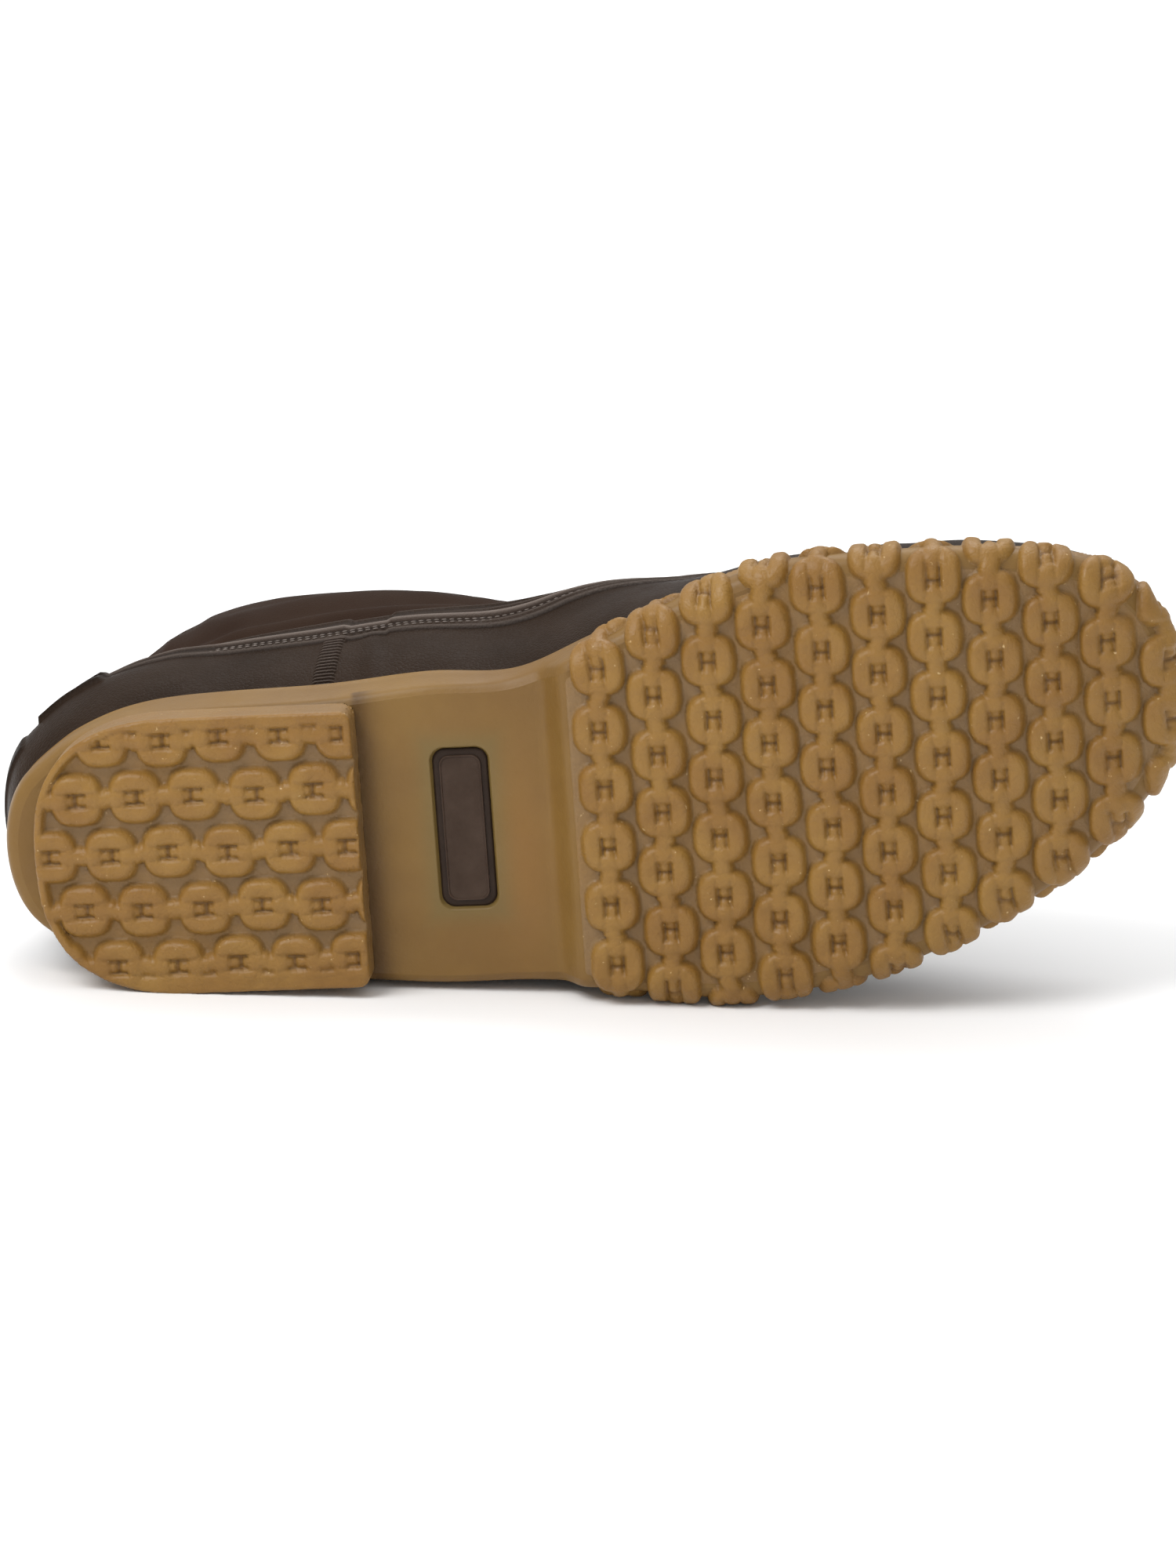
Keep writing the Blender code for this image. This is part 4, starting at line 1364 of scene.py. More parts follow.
@dataclass
class Badge:
    """Bare brown plate inlaid in the arch, with a raised border."""

    last: Last
    resting: RestingFrame
    rubber: BrownRubber
    size: Tuple[float, float] = (0.0126, 0.0370)
    thickness: float = 0.0013
    corner: float = 0.0030
    border_in: float = 0.00150
    border_wide: float = 0.00050
    border_high: float = 0.00018
    border_slope: float = 0.00012
    field_high: float = 0.00005
    moat: float = 0.00030
    sunk: float = 0.00045

    def ring(self, inset: float, z: float, steps: int = 10) -> Array:
        """Rounded rectangle inside the plate's edge.

        Args:
            inset: Distance inside the edge.
            z: Its height.
            steps: Points at each corner.

        Returns:
            Its points in order.
        """
        centre_x, centre_y = self.last.badge_centre
        half_x, half_y = self.size[0] / 2 - inset, self.size[1] / 2 - inset
        corner = max(self.corner - inset * 0.5, 0.0004)
        points = []
        for quarter, (side_x, side_y) in enumerate(((1, 1), (-1, 1), (-1, -1), (1, -1))):
            for step in range(steps):
                angle = math.pi / 2 * (quarter + step / (steps - 1))
                points.append((centre_x + side_x * (half_x - corner) + corner * math.cos(angle),
                               centre_y + side_y * (half_y - corner) + corner * math.sin(angle), z))
        return np.array(points)

    def make(self) -> Piece:
        """Make the plate with rounded edges, a raised border and a slightly sunk field.

        Returns:
            The piece, laid on the floor.
        """
        low, high = self.last.arch_height + self.sunk, self.last.arch_height + self.thickness
        outer, inner, slope = self.border_in, self.border_in + self.border_wide, self.border_slope
        moat, ridge, floor = low + self.moat, low - self.border_high, low + self.field_high
        edge = [(0.0, high), (0.0, low + 0.0007), (0.0003, low + 0.0004), (0.0006, moat),
                (outer, moat)]
        face = [(outer + slope, ridge), (inner - slope, ridge), (inner, floor),
                (inner + 0.0004, floor), (inner + 0.0012, floor)]
        rings = np.stack([self.ring(inset, z) for inset, z in edge + face])
        # Painted shade on the plate's sides and in its moat; none on the border and field
        shades = np.array([0.55] * len(edge) + [0.0] * len(face))
        dark = np.repeat(shades[:, None], rings.shape[1], axis=1)
        mesh = Mesh()
        mesh.add_grid(rings[::-1], wrap=True, seam=dark[::-1])
        mesh.add(rings[-1], np.arange(rings.shape[1])[None, ::-1], seam=dark[-1])
        return mesh.build("badge_plate", self.resting, self.rubber.plate(), 50.0)


@dataclass
class Shell:
    """Brown rubber lower with its beaded rim, ribs over its join, counter strip and stitches."""

    last: Last
    walls: Walls
    resting: RestingFrame
    rubber: BrownRubber
    trim: Trim
    around: int = 840
    levels: int = 92
    wall_start: float = 0.10
    band_proud: float = 0.0008
    counter_proud: float = 0.0010
    counter_turns: Tuple[float, float] = (0.80, 0.95)
    bead_high: float = 0.00060
    band_high: float = 0.0122
    wing_proud: float = 0.0014
    strip_proud: float = 0.0006
    cloth_rise: float = 0.0022
    stitch_rows: Tuple[float, float] = (0.0104, 0.0117)
    stitch_pitch: float = 0.0017
    rib_place: Tuple[float, float] = (0.0802, 0.0029)
    rib_lean: float = 0.053
    rib_count: int = 18
    rib_low: float = 0.27
    rib_gap: float = 0.92
    rib_high: float = 0.00048
    rim_rise: float = 0.035
    foot_ring: float = 0.02
    fold_place: Tuple[float, float] = (0.0769, 0.0866)
    fold_deep: float = 0.0006
    panel_proud: float = 0.00055
    vamp_place: float = 0.095
    wear: Unevenness = field(default_factory=lambda: Unevenness(23))

    # Lines along the rim: distance below the top line, half width, strength, on the vamp alone
    BEADS = (
        (0.0006, 0.0006, 0.7, False),
        (0.0076, 0.0013, 1.5, False),
        (0.0040, 0.0007, 0.8, True),
        (0.0108, 0.0008, 0.9, True),
    )
    # Painted shade lines in the grooves beside the beads and under the band's step
    SHADE_LINES = (
        (0.0126, 0.0005, 0.9, False),
        (0.0096, 0.0006, 0.7, False),
        (0.0022, 0.0005, 0.5, False),
    )
    # Painted highlights along the beads
    GLEAMS = (
        (0.0076, 0.00075, 0.95, False),
        (0.0004, 0.00040, 0.35, False),
        (0.0122, 0.00035, 0.45, False),
        (0.0040, 0.00040, 0.40, True),
        (0.0108, 0.00040, 0.40, True),
    )
    # Cloth along the cut edge: rings above the top line, offset, and whether it frays and lifts
    CLOTH = (
        (-0.06, -0.0004, False, False),
        (0.03, -0.0003, True, True),
        (0.07, -0.0009, True, True),
        (0.03, -0.0019, True, False),
        (-0.10, -0.0021, False, False),
    )

    def below_top(self, points: Array) -> Array:
        """Distance of each grid point below the top line, along its own column.

        Args:
            points: Grid whose last row is the top line.

        Returns:
            The distance of each point.
        """
        steps = np.linalg.norm(np.diff(points, axis=0), axis=-1)
        run = np.concatenate([np.zeros((1, steps.shape[1])), np.cumsum(steps, axis=0)])
        return run[-1] - run

    @staticmethod
    def lines(table: Sequence[Sequence[float]], below: Array, vamp: Array) -> Array:
        """Add up the lines of one table.

        Args:
            table: Place, half width and strength of each line, and whether the vamp alone has it.
            below: Distance of each point below the top line.
            vamp: How far each point belongs to the vamp, from 0 to 1.

        Returns:
            The sum at each point.
        """
        return sum(strength * hump(below - place, wide) * (vamp if vamp_alone else 1.0)
                   for place, wide, strength, vamp_alone in table)

    def detail(self, turns: Array, rings: Array, points: Array,
               below: Array) -> Tuple[Array, Array, Array]:
        """Raised and sunk lines of the shell.

        Args:
            turns: Turn of each grid column.
            rings: Ring of each point.
            points: Grid on the plain surface.
            below: Distance of each point below the top line.

        Returns:
            How far each point stands out, how dark it is painted and how bright its painted
            highlight is: painted shade in the grooves by the beads and under the band's step, the
            heel patches' own dark colour, and painted highlight along the beads.
        """
        x, y = points[..., 0], points[..., 1]
        turn = np.abs((turns + math.pi) % (2 * math.pi) - math.pi)[None, :]
        behind = math.pi - turn
        inner = ((turns > 0) & (turns < math.pi))[None, :]
        vamp = ease((x - self.vamp_place) / 0.03)
        start, end = self.counter_turns
        counter = ease(1 - (behind - start) / (end - start)) * ease((below - 0.0072) / 0.0008)
        band = 1 - ease((below - self.band_high) / 0.0007)
        out = (self.band_proud * band + self.counter_proud * counter
               + self.bead_high * self.lines(self.BEADS, below, vamp))
        wing = window(behind, 0.355, 0.60, 0.02) * window(rings, 1.95, 2.75, 0.07)
        strip = (1 - ease((behind - 0.27) / 0.02)) * window(rings, 1.35, 2.3, 0.07)
        out = out + self.wing_proud * wing + self.strip_proud * strip
        fold = window(x, *self.fold_place, 0.0012) * (1 - ease((below - 0.0140) / 0.001))
        lean = (x - 0.0836) - 0.09 * (below - 0.012)
        panel = hump(lean, 0.0022) * ease((below - 0.010) / 0.004)
        out = out + (self.panel_proud * panel - self.fold_deep * fold) * inner
        bend = x - 0.35 * np.abs(y + 0.012)
        crease = hump(bend - 0.178, 0.0042) * ease((below - 0.012) / 0.02)
        out = out - 0.0007 * crease + 0.0005 * hump(bend - 0.187, 0.005)
        out = out + 0.00022 * self.wear.read(x, points[..., 2] + y, 0.017)
        patches = np.maximum(wing, strip)
        # Painted shade lines, plus the heel patches' own dark colour
        seam = self.lines(self.SHADE_LINES, below, vamp) + 0.75 * patches
        # Painted highlight along the beads, none on the heel patches
        gleam = np.clip(self.lines(self.GLEAMS, below, vamp), 0, 1) * (1 - patches)
        return out, np.clip(seam, 0, 1), gleam

    def make_wall(self) -> Piece:
        """Make the shell's outer face, rolled rim and inner face.

        Returns:
            The piece, laid on the floor.
        """
        last = self.last
        turns = np.linspace(0, 2 * math.pi, self.around, endpoint=False)
        top = last.top_ring(turns)
        shares = 1 - (1 - np.linspace(0, 1, self.levels)) ** 1.35
        rings = self.wall_start + (top - self.wall_start)[None, :] * shares[:, None]
        grid = np.broadcast_to(turns[None, :], rings.shape)
        plain = last.point(grid, rings)
        out, seam, gleam = self.detail(turns, rings, plain, self.below_top(plain))
        normal = last.normal(grid, rings)
        outer = plain + normal * out[..., None]
        rim = []
        for angle in np.linspace(0, math.pi, 7)[1:-1]:
            inwards = (1 - math.cos(angle)) / 2
            depth = out[-1] * (1 - inwards) - self.walls.shell * inwards
            rim.append(last.offset_point(turns, top + self.rim_rise * math.sin(angle), depth))
        foot = self.foot_ring
        inner_rings = foot + (top - foot)[None, :] * np.linspace(1, 0, 30)[:, None]
        inner = last.offset_point(turns[None, :], inner_rings, -self.walls.shell)
        sheet = np.concatenate([outer, np.stack(rim), inner])
        hidden = (len(rim) + len(inner), self.around)
        # The rolled rim and the inner face are darkened by half
        dark = np.concatenate([seam, np.full(hidden, 0.5)])
        shine = np.concatenate([gleam, np.zeros(hidden)])
        mesh = Mesh()
        mesh.add_grid(sheet[::-1], wrap=True, seam=dark[::-1], gleam=shine[::-1])
        return mesh.build("rubber_shell", self.resting, self.rubber.grained())

    def surface_at(self, turn: float, below: float, lift: float) -> Tuple[Vector, Vector, Vector]:
        """Place on the shell below its top line.

        Args:
            turn: Turn from the toe.
            below: Distance below the top line.
            lift: Distance outside the shell's plain face.

        Returns:
            The place, the way along the top line and the way out.
        """
        last = self.last
        top = float(last.top_ring(turn))
        unit = np.linalg.norm(last.point(turn, top) - last.point(turn, top - 0.1)) / 0.1
        step = 1e-3
        places = [last.offset_point(angle, float(last.top_ring(angle)) - below / unit, lift)
                  for angle in (turn - step, turn, turn + step)]
        along = Vector(places[2] - places[0]).normalized()
        out = Vector(last.normal(np.array(turn), np.array(top - below / unit)))
        return Vector(places[1]), along, out

    def make_stitches(self) -> Piece:
        """Make two rows of thread stitches below the rim, as one joined mesh.

        Returns:
            The piece, laid on the floor.
        """
        mesh = Mesh()
        turns = np.linspace(0, 2 * math.pi, 4000)
        path = self.last.point(turns, self.last.top_ring(turns) - 0.2)
        run = np.concatenate([[0], np.cumsum(np.linalg.norm(np.diff(path, axis=0), axis=1))])
        places = np.interp(np.arange(0, run[-1], self.stitch_pitch), run, turns)
        shape, faces = self.bean(0.00060, 0.00022)
        for row in self.stitch_rows:
            for turn in places:
                spot, along, out = self.surface_at(float(turn), row, self.band_proud + 0.00012)
                across = out.cross(along).normalized()
                axes = np.array((along, across, out))
                mesh.add(shape @ axes + np.array(spot), faces)
        return mesh.build("rim_stitches", self.resting, self.trim.thread(), 180.0)

    @staticmethod
    def bean(half: float, radius: float) -> Tuple[Array, Array]:
        """Shape one short round stitch along x.

        Args:
            half: Half of its length.
            radius: Radius of its thread.

        Returns:
            Its points and its faces.
        """
        stations = ((-1.0, 0.15), (-0.8, 0.75), (0.0, 1.0), (0.8, 0.75), (1.0, 0.15))
        sides = 6
        angles = [2 * math.pi * i / sides for i in range(sides)]
        points = [(half * along, radius * wide * math.cos(a), radius * wide * math.sin(a))
                  for along, wide in stations for a in angles]
        faces = [(r * sides + i, r * sides + (i + 1) % sides, (r + 1) * sides + (i + 1) % sides,
                  (r + 1) * sides + i) for r in range(len(stations) - 1) for i in range(sides)]
        return np.array(points), np.array(faces)

    def make_ribs(self) -> Piece:
        """Make the patch of short level ribs on the inner side, over the shell's join.

        Returns:
            The piece, laid on the floor.
        """
        last = self.last
        middle, wide = self.rib_place
        turn = math.acos(2 * middle / last.length - 1)
        columns = np.linspace(-1, 1, 15)
        rows = np.linspace(0, 1, 330)
        half_turn = wide / (last.length * 0.5 * math.sin(turn))
        grid_turn = turn + columns[None, :] * half_turn + self.rib_lean * (1 - rows[:, None])
        top = last.top_ring(grid_turn)
        rings = self.rib_low + (top - self.rib_gap - self.rib_low) * rows[:, None]
        rib = 0.5 + 0.5 * np.cos(2 * math.pi * rows[:, None] * self.rib_count)
        edge = 1 - np.abs(columns[None, :]) ** 6
        ends = ease(rows[:, None] / 0.015) * ease((1 - rows[:, None]) / 0.015)
        offset = -0.0002 + (0.00045 + self.rib_high * rib) * edge * ends
        mesh = Mesh()
        # Painted shade between the ribs and painted highlight on their crests
        mesh.add_grid(last.offset_point(grid_turn, rings, offset)[::-1],
                      seam=((1 - rib) * 0.8 * edge)[::-1], gleam=(0.55 * rib**6 * edge)[::-1])
        return mesh.build("side_ribs", self.resting, self.rubber.grained(), 180.0)

    def make_edge(self) -> Piece:
        """Make the frayed black cloth that shows along the vamp's cut edge.

        Returns:
            The piece, laid on the floor.
        """
        last = self.last
        reach = 1.62
        turns = np.linspace(-reach, reach, 900)
        fray = np.random.default_rng(5).uniform(0.2, 1.0, (2, len(turns)))
        top = last.top_ring(turns)
        span = ease((reach - np.abs(turns)) / 0.25)
        rising = last.point(turns, top) - last.point(turns, top - 0.05)
        rising = rising / np.linalg.norm(rising, axis=-1, keepdims=True)
        cloth = self.cloth_rise * ease((1.56 - turns) / 0.22) * ease((turns - 1.13) / 0.04)
        rows = []
        for i, (rise, depth, frays, lifts) in enumerate(self.CLOTH):
            shake = 0.03 * fray[i % 2] * frays
            lift = 0.00035 * fray[(i + 1) % 2] * lifts
            row = last.offset_point(turns, top + (rise + shake) * span,
                                    depth + lift * span - 0.0004 * (1 - span))
            rows.append(row + rising * (cloth * (0.7 + 0.3 * fray[0]) * frays)[:, None])
        mesh = Mesh()
        mesh.add_grid(np.stack(rows[::-1]))
        return mesh.build("frayed_rim", self.resting, self.trim.fuzz(), 180.0)

    def make(self) -> List[Piece]:
        """Make every piece of the shell."""
        return [self.make_wall(), self.make_stitches(), self.make_ribs(), self.make_edge()]


@dataclass
class Shaft:
    """Leather shaft with its creases, throat and backstay."""

    last: Last
    walls: Walls
    resting: RestingFrame
    leather: BrownLeather
    trim: Trim
    throat_width: float = 0.024
    tuck_rings: float = 0.9
    backstay_width: float = 0.022
    backstay_wall: float = 0.0015
    backstay_foot: float = 0.1
    across: int = 520
    rows: int = 110
    wear: Unevenness = field(default_factory=lambda: Unevenness(37))

    # Creases: ring at the front, ring at the back, depth in metres, width in rings
    CREASES = (
        (5.60, 4.75, -0.0011, 0.26),
        (6.15, 5.35, 0.0009, 0.30),
        (6.75, 5.95, -0.0013, 0.24),
        (7.30, 6.75, 0.0007, 0.34),
        (8.20, 7.35, -0.0007, 0.30),
    )

    def slack(self, turns: Array, rings: Array) -> Array:
        """Soft troughs and ridges that the ankle's bend leaves in the leather.

        Args:
            turns: Turns from the toe.
            rings: Ring numbers.

        Returns:
            How far the leather stands out at each place.
        """
        back = (1 - np.cos(turns)) / 2
        sides = 0.35 + 0.65 * np.sin(turns) ** 2
        total = np.zeros(np.broadcast(turns, rings).shape)
        for front_ring, back_ring, depth, wide in self.CREASES:
            line = front_ring + (back_ring - front_ring) * back
            total = total + depth * sides * hump(rings - line, wide)
        total = total + 0.0005 * self.wear.read(np.sin(turns) * 0.3 + 1, rings * 0.02, 0.021)
        return total * ease((self.last.collar - rings) / 0.6)

    def sheet(self, turns: Array, low: Array, high: Array, outer: float, inner: float,
              rows: int, slack: bool) -> Mesh:
        """Curved wall with rounded edges between two offsets from the last.

        Args:
            turns: Turns of its columns.
            low: Lowest ring of each column.
            high: Highest ring of each column.
            outer: Offset of its outer face.
            inner: Offset of its inner face.
            rows: Number of rows up each face.
            slack: Whether the leather's creases run over it.

        Returns:
            The wall's mesh, closed all round.
        """
        shares = np.linspace(0, 1, rows)[:, None]
        rings = low[None, :] + (high - low)[None, :] * shares
        grid = np.broadcast_to(turns[None, :], rings.shape)
        wave = self.slack(grid, rings) if slack else 0.0
        wave = wave * ease((rings - self.last.top_ring(grid) - 0.05) / 0.5)
        faces = [self.last.offset_point(grid, rings, depth + wave) for depth in (outer, inner)]
        middle = (faces[0] + faces[1]) / 2
        lip = self.last.offset_point(turns, high + 0.015, (outer + inner) / 2 + wave[-1])
        around = np.concatenate([faces[0], lip[None], faces[1][::-1], faces[0][:1]])
        raw = np.zeros(around.shape[:2])
        raw[rows:] = 1.0
        mesh = Mesh()
        mesh.add_grid(around[::-1], raw=raw[::-1])
        for column, order in ((0, -1), (-1, 1)):
            strip = np.stack([face[:, column] for face in (faces[0], middle, faces[1])], axis=1)
            mesh.add_grid(strip[::order], raw=np.ones(strip.shape[:2]))
        return mesh

    def make_wall(self) -> Piece:
        """Make the leather wall from inside the shell to the collar, open at the throat.

        Returns:
            The piece, laid on the floor.
        """
        edge = self.last.side_turn(self.throat_width)
        turns = np.linspace(edge, 2 * math.pi - edge, self.across)
        low = self.last.top_ring(turns) - self.tuck_rings
        high = np.full(len(turns), float(self.last.collar))
        mesh = self.sheet(turns, low, high, self.walls.shaft_outer, self.walls.shaft_inner,
                          self.rows, True)
        return mesh.build("leather_shaft", self.resting, self.leather.smooth(), 50.0)

    def make_backstay(self) -> Piece:
        """Make the leather strip up the back of the shaft.

        Returns:
            The piece, laid on the floor.
        """
        half = self.last.side_turn(self.backstay_width)
        turns = np.linspace(math.pi - half, math.pi + half, 41)
        low = self.last.top_ring(turns) + self.backstay_foot
        high = np.full(len(turns), float(self.last.collar))
        inner = self.walls.shaft_outer + 0.0001
        mesh = self.sheet(turns, low, high, inner + self.backstay_wall, inner, 90, True)
        return mesh.build("leather_backstay", self.resting,
                          self.leather.smooth("backstay_leather", 0.9), 50.0)

    def make(self) -> List[Piece]:
        """Make the shaft's pieces."""
        return [self.make_wall(), self.make_backstay()]


@dataclass
class Tongue:
    """Leather tongue behind the throat."""

    last: Last
    walls: Walls
    resting: RestingFrame
    shaft: Shaft
    leather: BrownLeather
    width: float = 0.050
    wall: float = 0.0018
    rise: float = 0.35
    top_round: float = 0.25
    tuck: float = 0.63
    sink: float = 0.0010

    def make(self) -> Piece:
        """Make the tongue, rounded at its top.

        Returns:
            The piece, laid on the floor.
        """
        half = self.last.side_turn(self.width)
        turns = np.linspace(-half, half, 90)
        low = self.last.top_ring(turns) - self.tuck
        high = self.last.collar + self.rise - self.top_round * (turns / half) ** 2
        outer = self.walls.shaft_inner - self.sink
        mesh = self.shaft.sheet(turns, low, high, outer, outer - self.wall, 110, False)
        return mesh.build("leather_tongue", self.resting,
                          self.leather.smooth("tongue_leather", 0.95), 50.0)


@dataclass
class Insole:
    """Felted inner sole inside the shell's foot."""

    last: Last
    walls: Walls
    resting: RestingFrame
    trim: Trim
    thickness: float = 0.0040
    clearance: float = 0.0009

    def make(self) -> Piece:
        """Make the insole with rounded edges.

        Returns:
            The piece, laid on the floor.
        """
        last = self.last
        turns = np.linspace(0, 2 * math.pi, 360, endpoint=False)
        offset = -self.walls.shell - self.clearance
        rings = []
        for ring, rise, inset in ((0.0, 0.0, 0.0), (0.2, 0.5, 0.0), (0.35, 0.9, 0.0003),
                                  (0.4, 1.0, 0.0012)):
            row = last.offset_point(turns, ring, offset - inset)
            row[:, 2] = last.seat_height(row[:, 0]) + self.walls.gap + self.thickness * rise
            rings.append(row)
        half = len(turns) // 2
        mesh = Mesh()
        mesh.add_grid(np.stack(rings[::-1]), wrap=True)
        shares = np.linspace(0, 1, 25)[:, None, None]
        for rim, order in ((rings[0], 1), (rings[-1], -1)):
            left, right = rim[:half + 1], np.concatenate([rim[:1], rim[:half - 1:-1]])
            mesh.add_grid((left[None] * (1 - shares) + right[None] * shares)[::order])
        return mesh.build("felt_insole", self.resting, self.trim.felt(), 40.0)


@dataclass
class Lacing:
    """Brass eyelets and the lace that crosses the throat through them."""

    last: Last
    walls: Walls
    resting: RestingFrame
    trim: Trim
    pairs: int = 5
    radius: float = 0.0042
    bore: float = 0.0022
    seat: float = 0.0011
    thickness: float = 0.0010
    inset: float = 0.0080
    rings: Tuple[float, float] = (6.30, 9.65)
    throat_width: float = 0.024
    lace_diameter: float = 0.0034
    clearance: float = 0.0006

    @property
    def turn(self) -> float:
        """Turn of the eyelets from the toe."""
        return self.last.side_turn(self.throat_width + 2 * self.inset)

    def rows(self) -> Array:
        """Ring of each pair of eyelets."""
        return np.linspace(*self.rings, self.pairs)

    def eyelet(self, name: str, turn: float, ring: float, brass: Material) -> Piece:
        """Make one eyelet, a rolled brass collar on the leather.

        Args:
            name: Name of the piece.
            turn: Its turn from the toe.
            ring: Its ring.
            brass: Its finish.

        Returns:
            The eyelet.
        """
        base = self.walls.shaft_outer + self.seat - 0.0004
        origin = self.last.offset_point(turn, ring, base)
        out = Vector(self.last.normal(np.array(turn), np.array(ring)))
        side = out.orthogonal().normalized()
        other = out.cross(side)
        profile = [(self.bore, -0.0022), (self.bore, 0.0006), (self.bore * 1.12, 0.0011),
                   (self.bore * 1.35, 0.0014), (self.radius * 0.85, 0.0010),
                   (self.radius * 0.98, 0.0004), (self.radius, 0.0)]
        angles = np.linspace(0, 2 * math.pi, 40, endpoint=False)
        grid = np.array([[origin + np.array(side * (r * math.cos(a)) + other * (r * math.sin(a))
                                            + out * z) for a in angles] for r, z in profile])
        mesh = Mesh()
        mesh.add_grid(grid[::-1], wrap=True)
        return mesh.build(name, self.resting, brass)

    def strand(self, first: Tuple[float, float], second: Tuple[float, float]) -> Array:
        """Route of one crossing, up through an eyelet, over the throat and down the next one.

        Args:
            first: Turn and ring of the eyelet where it comes up.
            second: Turn and ring of the eyelet where it goes down.

        Returns:
            Points of the route.
        """
        top = self.walls.shaft_outer + self.seat + self.thickness + self.clearance
        lift = top + self.lace_diameter / 2
        entry = lift * 0.75 + 0.0006
        up = [(0.0, self.walls.shaft_outer - 0.0030), (0.0, self.walls.shaft_outer), (0.02, entry),
              (0.10, lift), (0.3, lift + 0.0003)]
        down = [(1 - share, height) for share, height in reversed(up)]
        points = []
        for share, depth in up + [(0.5, lift + 0.0006)] + down:
            turn = first[0] + (second[0] - first[0]) * share
            ring = first[1] + (second[1] - first[1]) * share
            points.append(self.last.offset_point(turn, ring, depth))
        return np.array(points)

    def tube(self, mesh: Mesh, route: Array, sides: int = 12, steps: int = 8) -> None:
        """Add a round lace along a route, smoothed between its points.

        Args:
            mesh: Mesh that takes it.
            route: Points of its route.
            sides: Number of its sides.
            steps: Steps between two points of the route.
        """
        path = Outsole.rounded(route[:, None, :], [steps] * (len(route) - 1))[:, 0]
        side = Vector((1, 0, 0))
        rings = []
        for i in range(len(path)):
            ahead = Vector(path[min(i + 1, len(path) - 1)] - path[max(i - 1, 0)]).normalized()
            side = (side - ahead * side.dot(ahead)).normalized()
            other = ahead.cross(side)
            ring = [np.array(side * math.cos(a) + other * math.sin(a)) * self.lace_diameter / 2
                    + path[i] for a in np.linspace(0, 2 * math.pi, sides, endpoint=False)]
            rings.append(ring)
        mesh.add_grid(np.array(rings), wrap=True)

    def make_lace(self) -> Piece:
        """Make the crossings between the pairs and the bar across the lowest pair.

        Returns:
            The piece, laid on the floor.
        """
        mesh = Mesh()
        rows = self.rows()
        for side in Side:
            for i in range(self.pairs - 1):
                way = side.value * (-1) ** i
                self.tube(mesh, self.strand((way * self.turn, rows[i]),
                                            (-way * self.turn, rows[i + 1])))
        self.tube(mesh, self.strand((-self.turn, rows[0]), (self.turn, rows[0])))
        return mesh.build("rawhide_lace", self.resting, self.trim.lace(), 180.0)

    def make(self) -> Dict[str, Piece]:
        """Make every eyelet and the lace, by the name of the node that each stands for.

        Returns:
            The pieces, by their nodes' names.
        """
        brass = self.trim.brass()
        made = {"lace": self.make_lace()}
        for i, ring in enumerate(self.rows(), 1):
            for side in Side:
                node = f"eyelet_{side.name.lower()}_{i}"
                made[node] = self.eyelet(f"brass_{node}", side.value * self.turn, ring, brass)
        return made


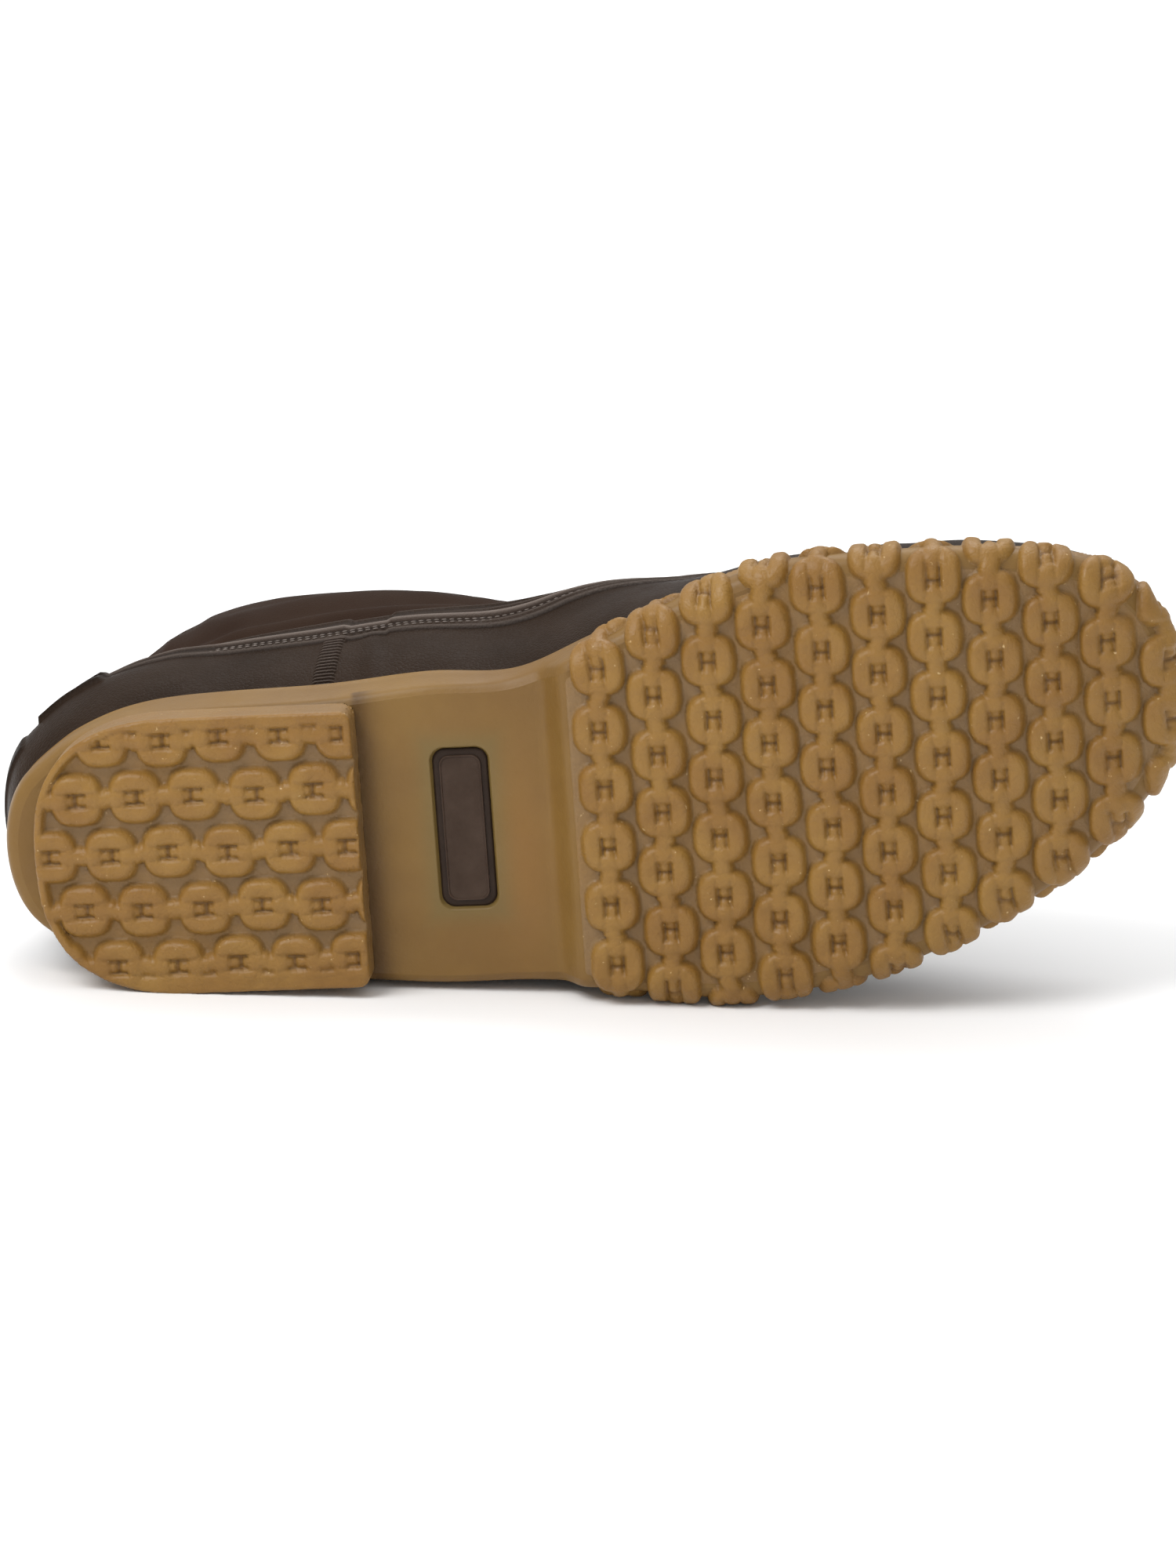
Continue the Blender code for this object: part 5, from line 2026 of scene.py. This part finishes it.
@dataclass
class Studio:
    """Pale floor, soft lights and the camera, set from the boot as it lies."""

    resting: RestingFrame
    image: Tuple[int, int] = (1500, 2000)
    sensor: float = 36.0
    distance: float = 1.5136
    focal_pixels: float = 8474.6
    towards_toe: float = 6.0
    above_sole: float = 15.0
    roll: float = 3.9
    aim_pixel: Tuple[float, float] = (7.0, 1085.0)
    aim_point: Tuple[float, float, float] = (0.0, 0.0, 0.012)
    floor_half: float = 20.0
    daylight: float = 0.52

    # Soft lights: name, place, width and power
    LIGHTS = (
        ("key_light", (-0.60, -0.70, 1.05), 0.75, 12.0),
        ("overhead_light", (0.0, 0.8, 3.6), 8.0, 110.0),
        ("back_light", (0.0, 1.15, 2.3), 1.3, 22.0),
        ("fill_light", (0.60, -1.30, 0.45), 1.2, 2.5),
    )

    def make_camera(self) -> None:
        """Set the camera at the photograph's angle to the boot."""
        swing, rise = math.radians(self.towards_toe), math.radians(self.above_sole)
        toe = self.resting.direction((1, 0, 0))
        inner = self.resting.direction((0, -1, 0))
        down = self.resting.direction((0, 0, -1))
        roll = math.radians(self.roll)
        level_toe = toe * math.cos(roll) - inner * math.sin(roll)
        level_up = inner * math.cos(roll) + toe * math.sin(roll)
        back = (level_toe * math.sin(swing) + down * math.cos(swing)) * math.cos(rise)
        back = (back + level_up * math.sin(rise)).normalized()
        right = (level_toe * math.cos(swing) - down * math.sin(swing)).normalized()
        up = back.cross(right)
        target = self.resting.direction(self.aim_point) + self.resting.origin
        shift_x = (self.aim_pixel[0] - self.image[0] / 2) / self.focal_pixels
        shift_y = (self.image[1] / 2 - self.aim_pixel[1]) / self.focal_pixels
        ray = right * shift_x + up * shift_y - back
        origin = target - ray * self.distance
        camera = bpy.data.cameras.new("camera")
        camera.sensor_fit = "VERTICAL"
        camera.sensor_height = self.sensor
        camera.lens = self.focal_pixels * self.sensor / self.image[1]
        camera.clip_start = 0.01
        placed = bpy.data.objects.new("camera", camera)
        placed.matrix_world = Matrix((right, up, back)).transposed().to_4x4()
        placed.location = origin
        bpy.context.scene.collection.objects.link(placed)
        bpy.context.scene.camera = placed

    def make_floor(self) -> None:
        """Lay the pale floor."""
        mesh = bpy.data.meshes.new("floor")
        half = self.floor_half
        corners = [(-half, -half, 0), (half, -half, 0), (half, half, 0), (-half, half, 0)]
        mesh.from_pydata(corners, [], [(0, 1, 2, 3)])
        shader = Shader("pale_floor")
        mesh.materials.append(shader.finish((0.92, 0.92, 0.92), 0.9, Specular_IOR_Level=0.2))
        floor = bpy.data.objects.new("floor", mesh)
        bpy.context.scene.collection.objects.link(floor)

    @staticmethod
    def add_light(name: str, place: Sequence[float], size: float, power: float) -> None:
        """Hang one soft square light that faces the boot.

        Args:
            name: Name of the light.
            place: Its place.
            size: Its width.
            power: Its power in watts.
        """
        light = bpy.data.lights.new(name, "AREA")
        light.size = size
        light.energy = power
        hung = bpy.data.objects.new(name, light)
        hung.location = place
        hung.rotation_euler = (-Vector(place)).to_track_quat("-Z", "Y").to_euler()
        bpy.context.scene.collection.objects.link(hung)

    def make(self) -> None:
        """Set up the whole studio."""
        self.make_floor()
        self.make_camera()
        for light in self.LIGHTS:
            self.add_light(*light)
        world = bpy.data.worlds.new("studio")
        world.use_nodes = True
        background = world.node_tree.nodes["Background"]
        background.inputs["Color"].default_value = (1, 1, 1, 1)
        background.inputs["Strength"].default_value = self.daylight
        bpy.context.scene.world = world
        bpy.context.scene.view_settings.view_transform = "Standard"


def settle(piece: Piece, slot: str, *nodes: str) -> None:
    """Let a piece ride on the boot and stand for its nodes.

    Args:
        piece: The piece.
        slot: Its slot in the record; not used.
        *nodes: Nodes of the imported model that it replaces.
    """
    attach(piece, "root")
    if nodes:
        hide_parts(*nodes)
    LOG.info("%s: %d faces", piece.name, len(piece.data.polygons))


def main() -> None:
    """Build the boot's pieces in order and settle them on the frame."""
    logging.basicConfig(level=logging.INFO, format="%(message)s")
    last, walls = Last(), Walls()
    resting = RestingFrame(frame["record"])
    Studio(resting).make()
    gum, rubber, leather, trim = GumRubber(), BrownRubber(), BrownLeather(), Trim()

    body, heel, forefoot = Outsole(last, walls, resting, gum).make()
    settle(body, "gum_sole", "outsole")
    settle(heel, "gum_sole")
    settle(forefoot, "gum_sole")
    settle(Badge(last, resting, rubber).make(), "badge", "arch_badge")

    wall, stitches, ribs, edge = Shell(last, walls, resting, rubber, trim).make()
    settle(wall, "shell", "shell")
    for piece in (stitches, ribs, edge):
        settle(piece, "shell")

    shaft = Shaft(last, walls, resting, leather, trim)
    leather_wall, backstay = shaft.make()
    settle(leather_wall, "shaft", "shaft")
    settle(backstay, "backstay", "backstay")
    settle(Tongue(last, walls, resting, shaft, leather).make(), "tongue", "tongue")
    settle(Insole(last, walls, resting, trim).make(), "insole", "insole")
    for node, piece in Lacing(last, walls, resting, trim).make().items():
        settle(piece, "lace" if node == "lace" else "eyelets", node)


if __name__ == "__main__":
    main()
